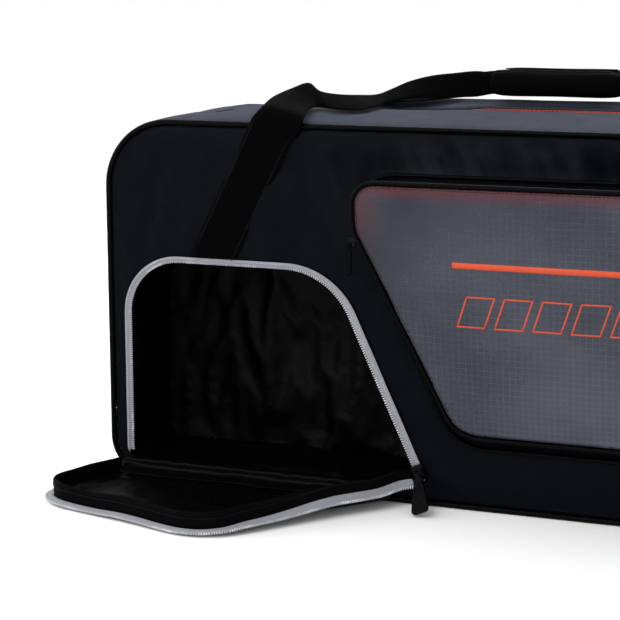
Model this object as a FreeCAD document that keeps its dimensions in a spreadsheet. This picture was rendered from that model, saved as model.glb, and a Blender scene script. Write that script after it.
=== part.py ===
"""Racket tournament bag: a soft rectangular six-racket bag with a drop-down shoe compartment.

Millimetres, +Z up. X runs along the bag, -Y is its front, and the origin is the centre of the base
at floor level. The shoe flap is drawn in its closed place and set down on the floor by its Placement.
"""
import FreeCAD, Part
import math
import os
import Sketcher

DIMENSIONS = [
    # alias, value, what it is
    ("bag_length", 750.0, "outside length"),
    ("bag_depth", 200.0, "outside depth of the body, front piping to rear piping"),
    ("bag_height", 322.0, "height of the panels with their piping"),
    ("top_corner", 60.0, "outer radius of the upper corners"),
    ("base_corner", 35.0, "outer radius of the lower corners"),
    ("panel_thick", 4.0, "foam-backed panel"),
    ("gusset_thick", 3.0, "fabric and foam of the gusset"),
    ("piping_dia", 5.0, "covered cord round a panel"),
    ("dome_rise", 10.0, "rise of the top gusset from piping to zip"),
    ("zip_gap", 8.0, "gap between the two top strips"),
    ("strip_length", 612.0, "length of the opening top strips"),
    ("hinge_gap", 0.4, "clearance at a folding edge"),
    ("grey_drop", 190.0, "height where the grey corner gusset ends"),
    ("opening_left", -358.0, "shoe opening, left edge"),
    ("opening_base", 14.0, "shoe opening, lower edge"),
    ("opening_top", 202.0, "shoe opening, upper edge"),
    ("opening_crown", -153.6, "where the upper edge would meet the slant"),
    ("opening_foot", -69.3, "where the slant meets the lower edge"),
    ("opening_curve", 52.0, "upper left radius of the shoe opening"),
    ("crown_curve", 70.0, "upper right radius of the shoe opening"),
    ("liner_depth", 108.0, "depth of the shoe compartment"),
    ("liner_wall", 1.6, "lining of the shoe compartment"),
    ("tape_width", 7.0, "visible zip tape on the panel side"),
    ("flap_inset", 16.5, "flap edge inside the opening"),
    ("flap_turn", 18.0, "turn of the open flap on the floor, degrees"),
    ("flap_thick", 3.0, "fabric and foam of the flap"),
    ("rim_height", 14.0, "bound edge standing on the flap"),
    ("pocket_top", 279.0, "pocket face, upper edge"),
    ("pocket_base", 69.0, "pocket face, lower edge"),
    ("pocket_left", -128.0, "pocket face, left edge"),
    ("pocket_right", 340.0, "pocket face, right edge"),
    ("pocket_deep", 50.0, "pocket depth at the upper edge"),
    ("pocket_shallow", 15.0, "pocket depth at the lower edge"),
    ("pocket_flare", 9.0, "pocket seam outside the face"),
    ("pocket_wall", 2.2, "pocket gusset"),
    ("web_width", 40.0, "carrying webbing"),
    ("web_thick", 2.4, "carrying webbing"),
    ("grip_length", 120.0, "hand grip"),
    ("grip_width", 34.0, "hand grip across"),
    ("grip_height", 24.0, "hand grip"),
    ("grip_base", 340.0, "underside of the lying grips"),
    ("slider_length", 14.0, "zip slider"),
    ("slider_width", 10.0, "zip slider"),
    ("pull_long", 40.0, "moulded zip pull"),
    ("pull_short", 30.0, "small zip pull"),
    ("strap_width", 60.0, "padded shoulder strap"),
    ("strap_length", 420.0, "padded shoulder strap"),
    ("strap_thick", 10.0, "padded shoulder strap"),
]

doc = FreeCAD.newDocument("racket_bag")
sheet = doc.addObject("Spreadsheet::Sheet", "dims")
for row, (alias, value, note) in enumerate(DIMENSIONS, start=1):
    sheet.set("A%d" % row, note)
    sheet.set("B%d" % row, str(value))
    sheet.setAlias("B%d" % row, alias)
doc.recompute()

V = FreeCAD.Vector
X_AXIS = V(1, 0, 0)
Y_AXIS = V(0, 1, 0)
Z_AXIS = V(0, 0, 1)
NODES = []


def dim(alias):
    return float(sheet.get(alias))


HALF = dim("bag_length") / 2
FRONT = dim("bag_depth") / 2
TOP = dim("bag_height")
INNER_FACE = FRONT - dim("panel_thick")
BASE_TOP = 60.0           # where the base gusset ends and the end panels start
LINER_OUTSET = 4.0        # lining of the shoe compartment outside its opening
WEB_SLANT = 63.8          # slope of the sewn webbing, degrees from level
LEG_X = -217.0            # middle of the left webbing at LEG_Z
LEG_Z = 316.0             # upper end of the sewn webbing
REAR_LEG_BASE = 240.0     # lower end of the sewn webbing on the back
HANDLE_AXIS_Z = 318.0     # height of the line that the handles lift about
FRONT_GRIP_Y = 21.0
REAR_GRIP_Y = 59.0
PLATE = 2.4               # thickness of a slider's plate
PIN_HEIGHT = 4.8          # pin of a slider above its foot
FLAP_PIVOT = V(-88, -FRONT + 2.0, 2.3)
SHOE_SLIDER_Z = 32.0      # height of the shoe slider on its zip
SHOE_PULL_LEAN = 48.0     # how far the shoe pull leans out from the zip, degrees


# ---------------------------------------------------------------- outlines in a plane

def shifted(corners, distance):
    """Corners (x, z, radius) of a clockwise convex outline, moved outwards by distance."""
    result = []
    count = len(corners)
    for index, (x, z, radius) in enumerate(corners):
        before = corners[index - 1]
        after = corners[(index + 1) % count]
        incoming = V(x - before[0], z - before[1], 0).normalize()
        outgoing = V(after[0] - x, after[1] - z, 0).normalize()
        out_one = V(-incoming.y, incoming.x, 0)
        out_two = V(-outgoing.y, outgoing.x, 0)
        bisector = (out_one + out_two).normalize()
        reach = distance / bisector.dot(out_one)
        result.append((x + bisector.x * reach, z + bisector.y * reach, max(radius + distance, 0.0)))
    return result


def rounded(corners, closed=True):
    """Lines and tangent arcs through corners (x, z, radius), drawn in the sketch's own plane."""
    count = len(corners)
    starts = []
    ends = []
    arcs = []
    for index, (x, z, radius) in enumerate(corners):
        here = V(x, z, 0)
        at_end = not closed and index in (0, count - 1)
        if radius <= 0 or at_end:
            starts.append(here)
            ends.append(here)
            arcs.append(None)
            continue
        before = corners[index - 1]
        after = corners[(index + 1) % count]
        to_before = (V(before[0], before[1], 0) - here).normalize()
        to_after = (V(after[0], after[1], 0) - here).normalize()
        half_angle = to_before.getAngle(to_after) / 2
        start = here + to_before * (radius / math.tan(half_angle))
        end = here + to_after * (radius / math.tan(half_angle))
        middle_way = (to_before + to_after).normalize()
        middle = here + middle_way * (radius / math.sin(half_angle) - radius)
        starts.append(start)
        ends.append(end)
        arcs.append(Part.Arc(start, middle, end))
    pieces = []
    for index in range(count):
        if arcs[index]:
            pieces.append(arcs[index])
        following = (index + 1) % count
        last = index == count - 1
        if last and not closed:
            break
        if (starts[following] - ends[index]).Length > 1e-6:
            pieces.append(Part.LineSegment(ends[index], starts[following]))
    return pieces


def upright_wire(pieces, depth):
    """The pieces of a flat outline stood up in the plane Y = depth."""
    wire = Part.Wire(Part.__sortEdges__([piece.toShape() for piece in pieces]))
    wire.Placement = FreeCAD.Placement(V(0, depth, 0), FreeCAD.Rotation(X_AXIS, 90))
    return wire


def panel_corners(inset):
    """Rounded rectangle of the front and rear of the bag, inset from the outside."""
    upper = dim("top_corner") - inset
    lower = dim("base_corner") - inset
    side = HALF - inset
    return [(-side, inset, lower), (-side, TOP - inset, upper), (side, TOP - inset, upper), (side, inset, lower)]


def opening_corners(outset=0.0):
    """Outline of the shoe opening, moved outwards by outset."""
    corners = [
        (dim("opening_left"), dim("opening_base"), 12.0),
        (dim("opening_left"), dim("opening_top"), dim("opening_curve")),
        (dim("opening_crown"), dim("opening_top"), dim("crown_curve")),
        (dim("opening_foot"), dim("opening_base"), 10.0),
    ]
    return shifted(corners, outset)


# ---------------------------------------------------------------- document helpers

def new_body(label):
    body = doc.addObject("PartDesign::Body", label)
    body.Label = label
    NODES.append(body)
    return body


def origin_plane(body, role):
    for feature in body.Origin.OriginFeatures:
        if feature.Role == role:
            return feature
    raise ValueError(role)


def new_sketch(body, name, role, offset="0"):
    """A sketch on the body's own origin plane, moved along that plane's normal by an expression."""
    sketch = body.newObject("Sketcher::SketchObject", name)
    sketch.AttachmentSupport = [(origin_plane(body, role), "")]
    sketch.MapMode = "FlatFace"
    sketch.setExpression(".AttachmentOffset.Base.z", offset)
    return sketch


def rectangle(sketch, left, low, width, height):
    """A rectangle whose place and size are constraints bound to the sheet."""
    corners = [V(0, 0, 0), V(10, 0, 0), V(10, 10, 0), V(0, 10, 0)]
    for index in range(4):
        sketch.addGeometry(Part.LineSegment(corners[index], corners[(index + 1) % 4]))
    square_up(sketch)
    for kind, first, second, value in (("DistanceX", -1, 0, left), ("DistanceY", -1, 0, low)):
        number = sketch.addConstraint(Sketcher.Constraint(kind, first, 1, second, 1, 1.0))
        sketch.setExpression("Constraints[%d]" % number, value)
    number = sketch.addConstraint(Sketcher.Constraint("DistanceX", 0, 1, 0, 2, 10.0))
    sketch.setExpression("Constraints[%d]" % number, width)
    number = sketch.addConstraint(Sketcher.Constraint("DistanceY", 1, 1, 1, 2, 10.0))
    sketch.setExpression("Constraints[%d]" % number, height)


def square_up(sketch):
    """Ties the four sides of a rectangle together and keeps them level and upright."""
    for index in range(4):
        sketch.addConstraint(Sketcher.Constraint("Coincident", index, 2, (index + 1) % 4, 1))
    for index in (0, 2):
        sketch.addConstraint(Sketcher.Constraint("Horizontal", index))
    for index in (1, 3):
        sketch.addConstraint(Sketcher.Constraint("Vertical", index))


def pad(body, sketch, length, name="pad", midplane=False):
    feature = body.newObject("PartDesign::Pad", name)
    feature.Profile = sketch
    feature.setExpression("Length", length)
    feature.Midplane = midplane
    doc.recompute()
    return feature


def cut(body, sketch, length, name="cut", reverse=False, midplane=False):
    """A pocket that must take something away."""
    before = body.Shape.Volume
    feature = body.newObject("PartDesign::Pocket", name)
    feature.Profile = sketch
    feature.setExpression("Length", length)
    feature.Reversed = reverse
    feature.Midplane = midplane
    doc.recompute()
    if body.Shape.Volume > before - 0.01:
        raise RuntimeError("%s cuts nothing in %s" % (name, body.Label))
    return feature


def box(label, sizes, corner, node=True):
    """A Part::Box with its sizes and its lowest corner given as expressions."""
    shape = doc.addObject("Part::Box", label)
    shape.Label = label
    for name, value in zip(("Length", "Width", "Height"), sizes):
        shape.setExpression(name, value)
    for name, value in zip("xyz", corner):
        shape.setExpression(".Placement.Base.%s" % name, value)
    if node:
        NODES.append(shape)
    return shape


def soft_solid(label, shape, placement=None):
    """A sewn piece with no straight section, made with Part's own functions."""
    feature = doc.addObject("Part::Feature", label)
    feature.Label = label
    feature.Shape = shape
    if placement:
        feature.Placement = placement
    NODES.append(feature)
    return feature


def tube(wire, radius):
    """A round cord along a wire."""
    edge = wire.OrderedEdges[0]
    start = edge.valueAt(edge.FirstParameter)
    direction = edge.tangentAt(edge.FirstParameter)
    circle = Part.Wire(Part.makeCircle(radius, start, direction))
    return wire.makePipeShell([circle], True, False)


def ribbon(sections, thickness):
    """Webbing through sections of (centre, half-width vector, direction of travel)."""
    outlines = []
    for centre, half, travel in sections:
        lift = half.cross(travel).normalize() * (thickness / 2)
        points = [centre - half - lift, centre + half - lift, centre + half + lift, centre - half + lift]
        outlines.append(Part.makePolygon(points + points[:1]))
    return Part.makeLoft(outlines, True, True)


# ---------------------------------------------------------------- panels and gusset

def front_panel():
    body = new_body("front_panel")
    outline = new_sketch(body, "front_outline", "XZ_Plane", "dims.bag_depth / 2 - dims.panel_thick")
    outline.addGeometry(rounded(panel_corners(dim("piping_dia"))))
    pad(body, outline, "dims.panel_thick")
    mouth = new_sketch(body, "shoe_mouth", "XZ_Plane", "dims.bag_depth / 2")
    mouth.addGeometry(rounded(opening_corners()))
    cut(body, mouth, "dims.panel_thick")


def rear_panel():
    body = new_body("rear_panel")
    outline = new_sketch(body, "rear_outline", "XZ_Plane", "-dims.bag_depth / 2")
    outline.addGeometry(rounded(panel_corners(dim("piping_dia"))))
    pad(body, outline, "dims.panel_thick")


def base_gusset():
    """Base with its two lower corners, up to the end panels."""
    body = new_body("base_gusset")
    wall = dim("gusset_thick")
    radius = dim("base_corner")
    outline = new_sketch(body, "base_outline", "XZ_Plane")
    outer = [(-HALF, BASE_TOP, 0), (-HALF, 0, radius), (HALF, 0, radius), (HALF, BASE_TOP, 0)]
    inside = HALF - wall
    inner = [(inside, BASE_TOP, 0), (inside, wall, radius - wall)]
    inner += [(-inside, wall, radius - wall), (-inside, BASE_TOP, 0)]
    outline.addGeometry(rounded(outer + inner))
    pad(body, outline, "dims.bag_depth - 2 * dims.panel_thick", midplane=True)


def end_panel(label, left):
    box(label,
        ("dims.gusset_thick", "dims.bag_depth - 2 * dims.panel_thick", "dims.grey_drop - %g" % BASE_TOP),
        (left, "dims.panel_thick - dims.bag_depth / 2", "%g" % BASE_TOP))


def dome_radius(rise):
    """Radius of the arc across the bag that rises by rise between the panels."""
    return (INNER_FACE ** 2 + rise ** 2) / (2 * rise)


def gusset_section(angle, side):
    """Closed outline of the corner gusset at an angle round the upper corner, 0 being the end panel."""
    rise = 0.2 + dim("dome_rise") * math.sin(math.radians(angle)) ** 2
    radius = dim("top_corner")
    centre = V(side * (HALF - radius), 0, TOP - radius)
    outward = V(side * math.cos(math.radians(angle)), 0, math.sin(math.radians(angle)))
    wall = dim("gusset_thick")
    edges = []
    corners = []
    for lowered in (0.0, wall):
        front = centre + outward * (radius - lowered) - Y_AXIS * INNER_FACE
        rear = centre + outward * (radius - lowered) + Y_AXIS * INNER_FACE
        crest = centre + outward * (radius - lowered + rise)
        edges.append(Part.Arc(front, crest, rear).toShape())
        corners.append((front, rear))
    edges.insert(1, Part.makeLine(corners[0][1], corners[1][1]))
    edges.append(Part.makeLine(corners[1][0], corners[0][0]))
    return Part.Wire(Part.__sortEdges__(edges))


def corner_gusset(label, side):
    """Grey gusset round an upper corner: a leg down the end, the corner, and a stub of the top."""
    turn = Part.makeLoft([gusset_section(angle, side) for angle in (0, 22.5, 45, 67.5, 90)], True, False)
    leg_face = Part.Face(gusset_section(0, side))
    leg = leg_face.extrude(V(0, 0, dim("grey_drop") - (TOP - dim("top_corner"))))
    stub_length = HALF - dim("top_corner") - dim("strip_length") / 2 - dim("hinge_gap")
    stub = Part.Face(gusset_section(90, side)).extrude(V(-side * stub_length, 0, 0))
    soft_solid(label, turn.fuse([leg, stub]).removeSplitter())


def strip_section(side, start, finish, thickness):
    """Arc band across half of the top, from the folding edge to the zip, with a rounded folding edge."""
    radius = dome_radius(dim("dome_rise"))
    low = TOP + dim("dome_rise") - radius
    middle = (start + finish) / 2

    def on_arc(across, lowered):
        reach = radius - lowered
        angle = math.asin(across / radius)
        return V(side * reach * math.sin(angle), low + reach * math.cos(angle), 0)

    outer = Part.Arc(on_arc(start, 0), on_arc(middle, 0), on_arc(finish, 0))
    inner = Part.Arc(on_arc(finish, thickness), on_arc(middle, thickness), on_arc(start, thickness))
    hinge_angle = math.asin(start / radius)
    outmost = on_arc(start, thickness / 2) + V(side * math.cos(hinge_angle), -math.sin(hinge_angle), 0) * (
        thickness / 2)
    cap = Part.Arc(on_arc(start, thickness), outmost, on_arc(start, 0))
    free_end = Part.LineSegment(on_arc(finish, 0), on_arc(finish, thickness))
    return [outer, free_end, inner, cap]


def top_strip(label, side):
    body = new_body(label)
    section = new_sketch(body, label + "_section", "YZ_Plane")
    folding_edge = INNER_FACE - 2.0
    section.addGeometry(strip_section(side, folding_edge, dim("zip_gap") / 2, dim("gusset_thick")))
    pad(body, section, "dims.strip_length", midplane=True)


def main_zip_tape(label, side):
    """One half of the main zip: its tape under the strip and its coil beside the middle."""
    inner_edge = 0.8
    outer_edge = 14.0
    low_side = inner_edge if side > 0 else -outer_edge
    under = "dims.bag_height + dims.dome_rise - dims.gusset_thick"
    tape = box(label + "_tape",
               ("dims.strip_length", "%g" % (outer_edge - inner_edge), "1.2"),
               ("-dims.strip_length / 2", "%g" % low_side, under + " - 1.6"), node=False)
    coil = doc.addObject("Part::Cylinder", label + "_coil")
    coil.Radius = 1.3
    coil.setExpression("Height", "dims.strip_length")
    coil.Placement.Rotation = FreeCAD.Rotation(Y_AXIS, 90)
    coil.setExpression(".Placement.Base.x", "-dims.strip_length / 2")
    coil.setExpression(".Placement.Base.y", "%g" % (side * 2.0))
    coil.setExpression(".Placement.Base.z", under)
    whole = doc.addObject("Part::Fuse", label)
    whole.Label = label
    whole.Base = tape
    whole.Tool = coil
    NODES.append(whole)


def panel_piping(label, depth):
    inset = dim("piping_dia") / 2
    wire = upright_wire(rounded(panel_corners(inset)), depth)
    soft_solid(label, tube(wire, inset - 0.1))


# ---------------------------------------------------------------- inside the bag

def base_board():
    """Stiffener lying on the base."""
    margin = 34.0
    box("base_board",
        ("dims.bag_length - %g" % (2 * margin), "dims.bag_depth - 16", "2.4"),
        ("%g - dims.bag_length / 2" % margin, "8 - dims.bag_depth / 2", "dims.gusset_thick + 0.2"))


def racket_divider():
    """Padded wall between the two rows of rackets."""
    body = new_body("racket_divider")
    sketch = new_sketch(body, "divider_outline", "XZ_Plane", "-54")
    rectangle(sketch, "20 - dims.bag_length / 2", "8", "dims.bag_length - 40", "217")
    pad(body, sketch, "4")


def shoe_liner():
    """Lining of the shoe compartment: a tub that opens at the front panel."""
    body = new_body("shoe_liner")
    wall = dim("liner_wall")
    outline = new_sketch(body, "liner_outline", "XZ_Plane", "dims.bag_depth / 2 - dims.panel_thick - dims.liner_depth")
    outline.addGeometry(rounded(opening_corners(LINER_OUTSET)))
    pad(body, outline, "dims.liner_depth")
    hollow = new_sketch(body, "liner_hollow", "XZ_Plane", "dims.bag_depth / 2 - dims.panel_thick")
    hollow.addGeometry(rounded(opening_corners(LINER_OUTSET - wall)))
    cut(body, hollow, "dims.liner_depth - dims.liner_wall")


def ring_pad(body, name, outer, inner, front, thick):
    """A flat band between two outlines, thick deep behind the depth front."""
    sketch = new_sketch(body, name, "XZ_Plane", "%g" % (front - thick))
    sketch.addGeometry(rounded(outer))
    sketch.addGeometry(rounded(inner))
    return pad(body, sketch, "%g" % thick, name + "_pad")


def shoe_opening_tape():
    """Zip tape and coil round the opening, on the panel's side."""
    body = new_body("shoe_opening_tape")
    width = dim("tape_width")
    ring_pad(body, "tape_band", opening_corners(), opening_corners(-width), 98.6, 1.2)
    ring_pad(body, "coil_band", opening_corners(2.4 - width), opening_corners(-width), 99.3, 2.6)
    below = new_sketch(body, "tape_end", "XZ_Plane", "99.5")
    rectangle(below, "dims.opening_left - 2", "dims.opening_base - 2",
              "dims.opening_foot - dims.opening_left + 4", "9")
    cut(body, below, "4", "tape_end_cut")


# ---------------------------------------------------------------- shoe flap, drawn closed

def flap_placement():
    """Turns the closed flap about the corner beside the zip slider until it lies on the floor."""
    turned = FreeCAD.Rotation(Z_AXIS, -dim("flap_turn")).multiply(FreeCAD.Rotation(X_AXIS, 90))
    return FreeCAD.Placement(FLAP_PIVOT - turned.multVec(FLAP_PIVOT), turned)


def flap_corners(outset=0.0):
    """Outline of the flap: the opening's outline inset, down to the line that meets the bag's foot."""
    turn = math.radians(dim("flap_turn"))
    clearance = 6.0

    def foot(x):
        return FLAP_PIVOT.z + (clearance - math.sin(turn) * (x - FLAP_PIVOT.x)) / math.cos(turn)

    inset = -dim("flap_inset")
    _, upper_left, crown, base_right = opening_corners(inset)
    slope = (base_right[0] - crown[0]) / (crown[1] - base_right[1])
    corner_height = 46.0
    corner_x = crown[0] + slope * (crown[1] - corner_height)
    toe_x = corner_x - 18.0
    corners = [
        (upper_left[0], foot(upper_left[0]), 6.0),
        upper_left,
        crown,
        (corner_x, corner_height, 10.0),
        (toe_x, foot(toe_x), 6.0),
    ]
    return shifted(corners, outset)


def flap_sheet(label, front, thick):
    body = new_body(label)
    sketch = new_sketch(body, label + "_outline", "XZ_Plane", "%g" % (front - thick))
    sketch.addGeometry(rounded(flap_corners()))
    pad(body, sketch, "%g" % thick)
    body.Placement = flap_placement()


def flap_edge_band(label, bands):
    """A band along the zipped edge of the flap, left open along the foot.

    Each band is (outer outset, inner outset, front, thickness)."""
    body = new_body(label)
    for number, (outer, inner, front, thick) in enumerate(bands):
        ring_pad(body, "%s_band_%d" % (label, number), flap_corners(outer), flap_corners(inner), front, thick)
    corners = flap_corners()
    first = corners[0]
    last = corners[-2]
    reach = 14.0
    foot = new_sketch(body, label + "_foot", "XZ_Plane", "101")
    open_foot = [
        (first[0] - reach, first[1] + 2.0, 0),
        (first[0] + reach, first[1] + 2.0, 0),
        (last[0] - 2 * reach, last[1] + 1.0, 0),
        (last[0] + reach, last[1] + 1.0, 0),
        (last[0] + reach, -reach, 0),
        (first[0] - reach, -reach, 0),
    ]
    foot.addGeometry(rounded(open_foot))
    cut(body, foot, "40", label + "_foot_cut")
    body.Placement = flap_placement()


def shoe_flap():
    panel_back = FRONT - dim("flap_thick")
    flap_sheet("shoe_flap_panel", FRONT, dim("flap_thick"))
    flap_sheet("shoe_flap_lining", panel_back, 1.0)
    flap_edge_band("shoe_flap_binding", [(0.0, -2.6, panel_back - 1.0, dim("rim_height"))])
    flap_edge_band("shoe_flap_zip_tape", [(8.1, 0.0, 98.6, 1.2), (8.1, 5.7, 99.3, 2.6)])


# ---------------------------------------------------------------- front pocket

def pocket_corners(outset=0.0):
    """Outline of the pocket's face in its own plane, moved outwards by outset."""
    top = dim("pocket_top")
    base = top - math.hypot(top - dim("pocket_base"), dim("pocket_deep") - dim("pocket_shallow"))
    left = dim("pocket_left")
    right = dim("pocket_right")
    slant_top = top - 38.0
    slant_run = 0.46 * (slant_top - base)
    corners = [
        (left, slant_top, 25.0),
        (left, top, 18.0),
        (right, top, 45.0),
        (right, base, 45.0),
        (left + slant_run, base, 30.0),
    ]
    return shifted(corners, outset)


def pocket_plane():
    """Placement that stands the pocket's face up, leaning in towards its lower edge."""
    fall = dim("pocket_deep") - dim("pocket_shallow")
    lean = math.degrees(math.atan2(fall, dim("pocket_top") - dim("pocket_base")))
    upright = FreeCAD.Rotation(X_AXIS, 90)
    tilt = FreeCAD.Rotation(X_AXIS, lean)
    hinge = V(0, 0, dim("pocket_top"))
    edge = V(0, -FRONT - dim("pocket_deep"), dim("pocket_top"))
    turned = tilt.multiply(upright)
    return FreeCAD.Placement(edge - tilt.multVec(hinge), turned)


def face_wire(outset):
    wire = Part.Wire(Part.__sortEdges__([piece.toShape() for piece in rounded(pocket_corners(outset))]))
    wire.Placement = pocket_plane()
    return wire


def pocket_gusset():
    """Wall of the pocket, from its seam on the front panel out to the leaning face."""
    flare = dim("pocket_flare")
    wall = dim("pocket_wall")
    seam = -FRONT - 0.1
    outer = Part.makeLoft([upright_wire(rounded(pocket_corners(flare)), seam), face_wire(0.0)], True, True)
    inner = Part.makeLoft([upright_wire(rounded(pocket_corners(flare - wall)), seam), face_wire(-wall)], True, True)
    soft_solid("pocket_gusset", outer.cut(inner))


def pocket_face():
    outward = pocket_plane().Rotation.multVec(Z_AXIS)
    soft_solid("pocket_face", Part.Face(face_wire(0.0)).extrude(outward * 1.6))


def pocket_pipings():
    radius = 2.0
    outward = pocket_plane().Rotation.multVec(Z_AXIS)
    face_line = face_wire(radius + 0.3)
    face_line.translate(outward * 0.8)
    soft_solid("pocket_face_piping", tube(face_line, radius))
    seam_line = upright_wire(rounded(pocket_corners(dim("pocket_flare") + radius + 0.3)), -FRONT - radius - 0.1)
    soft_solid("pocket_seam_piping", tube(seam_line, radius))


def pocket_zip_tape():
    """Zip tape inside the top and the upper ends of the pocket, close behind its face."""
    inward = pocket_plane().Rotation.multVec(V(0, 0, -1))
    band = Part.Face(face_wire(-2.8)).extrude(inward * 1.0)
    hollow = Part.Face(face_wire(-11.0)).extrude(inward * 1.0)
    ring = band.cut(hollow)
    ring.translate(inward * 0.3)
    below = Part.makeBox(2 * HALF, 100, dim("pocket_top") - 62.0, V(-HALF, -FRONT - 80, 0))
    soft_solid("pocket_zip_tape", ring.cut(below))


# ---------------------------------------------------------------- webbing and handles

def sewn_leg(label, side, face, low, high):
    """Webbing sewn on a panel: its slant rises towards the middle of the bag."""
    body = new_body(label)
    slant = math.radians(WEB_SLANT)
    half = dim("web_width") / 2 / math.sin(slant)

    def centre(z):
        return LEG_X - (LEG_Z - z) / math.tan(slant)

    corners = [(centre(low) - half, low), (centre(high) - half, high)]
    corners += [(centre(high) + half, high), (centre(low) + half, low)]
    outline = [(side * x, z, 0) for x, z in corners]
    offset = "dims.bag_depth / 2" if face < 0 else "-dims.bag_depth / 2 - 2"
    sketch = new_sketch(body, label + "_outline", "XZ_Plane", offset)
    sketch.addGeometry(rounded(outline))
    pad(body, sketch, "2")


def handle_webbing(label, face, grip_y):
    """Carrying webbing from both legs over the top edge to the grip, face -1 at the front."""
    lying = dim("grip_base") + dim("grip_height") / 2
    narrow = 14.0
    hinge_y = face * (FRONT + 3.7)
    half = dim("web_width") / 2
    side_shapes = []
    for side in (-1, 1):
        route = [
            (V(216, hinge_y, HANDLE_AXIS_Z), V(22.3, 0, 0), V(-0.3, 0, 1)),
            (V(207, face * 101, 336), V(21, 0, 0), V(-0.3, -0.2 * face, 1)),
            (V(198, face * 88, 345), V(half, 0, 0), V(-0.2, -face, 0.4)),
            (V(176, face * 50 + grip_y * 0.2, 346), V(15, -13 * face, 0), V(-1, -face, 0)),
            (V(138, face * 16 + grip_y * 0.6, 345.5), V(6, -18 * face, 0), V(-1, -0.5 * face, 0)),
            (V(98, grip_y, 348), V(1, -17 * face, 0), V(-1, 0, 0.06)),
            (V(62, grip_y, lying), V(0, -narrow * face, 0), V(-1, 0, 0)),
        ]
        sections = []
        for centre, across, travel in route:
            mirrored = [V(side * item.x, item.y, item.z) for item in (centre, across, travel)]
            sections.append(tuple(mirrored))
        side_shapes.append(ribbon(sections, dim("web_thick")))
    inside = Part.makeBox(124, 2 * narrow, dim("web_thick"), V(-62, grip_y - narrow, lying - dim("web_thick") / 2))
    soft_solid(label, side_shapes[0].fuse([inside, side_shapes[1]]))


def grip(label, grip_y):
    """Padded hand grip with a slot for the webbing."""
    body = new_body(label)
    width = dim("grip_width")
    height = dim("grip_height")
    base = dim("grip_base")
    outline = new_sketch(body, label + "_outline", "YZ_Plane")
    low_y = grip_y - width / 2
    corner = 9.0
    outline.addGeometry(rounded([
        (low_y, base, corner), (low_y, base + height, corner),
        (low_y + width, base + height, corner), (low_y + width, base, corner)]))
    pad(body, outline, "dims.grip_length", midplane=True)
    slot = new_sketch(body, label + "_slot", "YZ_Plane")
    rectangle(slot, "%g" % (grip_y - 14.6), "dims.grip_base + dims.grip_height / 2 - 1.6", "29.2", "3.2")
    cut(body, slot, "dims.grip_length + 2", "slot_cut", midplane=True)


# ---------------------------------------------------------------- zip sliders and pulls

def slider(label, placement):
    """Slider: plate with two ears that carry the pull's pin. Its own Z is outwards, X along the zip."""
    body = new_body(label)
    plate = new_sketch(body, label + "_plate", "XY_Plane")
    length = dim("slider_length")
    width = dim("slider_width")
    plate.addGeometry(rounded([
        (-length / 2, -width / 2, 3.5), (-length / 2, width / 2, 3.5),
        (length / 2, width / 2, 1.5), (length / 2, -width / 2, 1.5)]))
    pad(body, plate, "%g" % PLATE, "plate")
    for name, low in (("ear_left", 1.9), ("ear_right", -3.5)):
        ear = new_sketch(body, "%s_%s" % (label, name), "XY_Plane")
        rectangle(ear, "-2.4", "%g" % low, "4.8", "1.6")
        pad(body, ear, "%g" % (PIN_HEIGHT + 1.4), name)
    pin = new_sketch(body, label + "_pin", "XZ_Plane")
    pin.addGeometry(Part.Circle(V(0, PIN_HEIGHT, 0), Z_AXIS, 0.9))
    pad(body, pin, "4.6", "pin", midplane=True)
    body.Placement = placement


def pull(label, length, placement):
    """Moulded pull with an eye at its origin; it lies along its own +X."""
    body = new_body(label)
    head = new_sketch(body, label + "_head", "XZ_Plane")
    head.addGeometry(Part.ArcOfCircle(Part.Circle(V(0, 0, 0), Z_AXIS, 2.0), math.pi / 2, 3 * math.pi / 2))
    head.addGeometry([
        Part.LineSegment(V(0, -2, 0), V(7, -1.2, 0)),
        Part.LineSegment(V(7, -1.2, 0), V(7, 1.2, 0)),
        Part.LineSegment(V(7, 1.2, 0), V(0, 2, 0))])
    pad(body, head, "3.2", "head", midplane=True)
    tongue = new_sketch(body, label + "_tongue", "XY_Plane")
    wide = 0.2 * length
    tongue.addGeometry(rounded([
        (5.0, -3.5, 1.5), (5.0, 3.5, 1.5), (length, wide, 3.0), (length, -wide, 3.0)]))
    pad(body, tongue, "2.4", "tongue", midplane=True)
    eye = new_sketch(body, label + "_eye", "XZ_Plane")
    eye.addGeometry(Part.Circle(V(0, 0, 0), Z_AXIS, 1.05))
    cut(body, eye, "6", "eye_cut", midplane=True)
    body.Placement = placement


def frame_placement(origin, along, outward):
    """Placement whose X lies along a zip and whose Z points outwards."""
    across = outward.cross(along).normalize()
    rotation = FreeCAD.Rotation(along, across, outward, "ZXY")
    return FreeCAD.Placement(origin, rotation)


def slider_with_pull(stem, foot, along, outward, hang, length):
    """A slider standing on foot, with its pull lying from the pin along hang."""
    place = frame_placement(foot, along, outward)
    slider(stem + "_zip_slider", place)
    pin = foot + outward * PIN_HEIGHT
    across = outward.cross(along).normalize()
    upward = hang.cross(across).normalize()
    pull(stem + "_zip_pull", length, frame_placement(pin, hang, upward))


# ---------------------------------------------------------------- shoulder straps on the back

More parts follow.
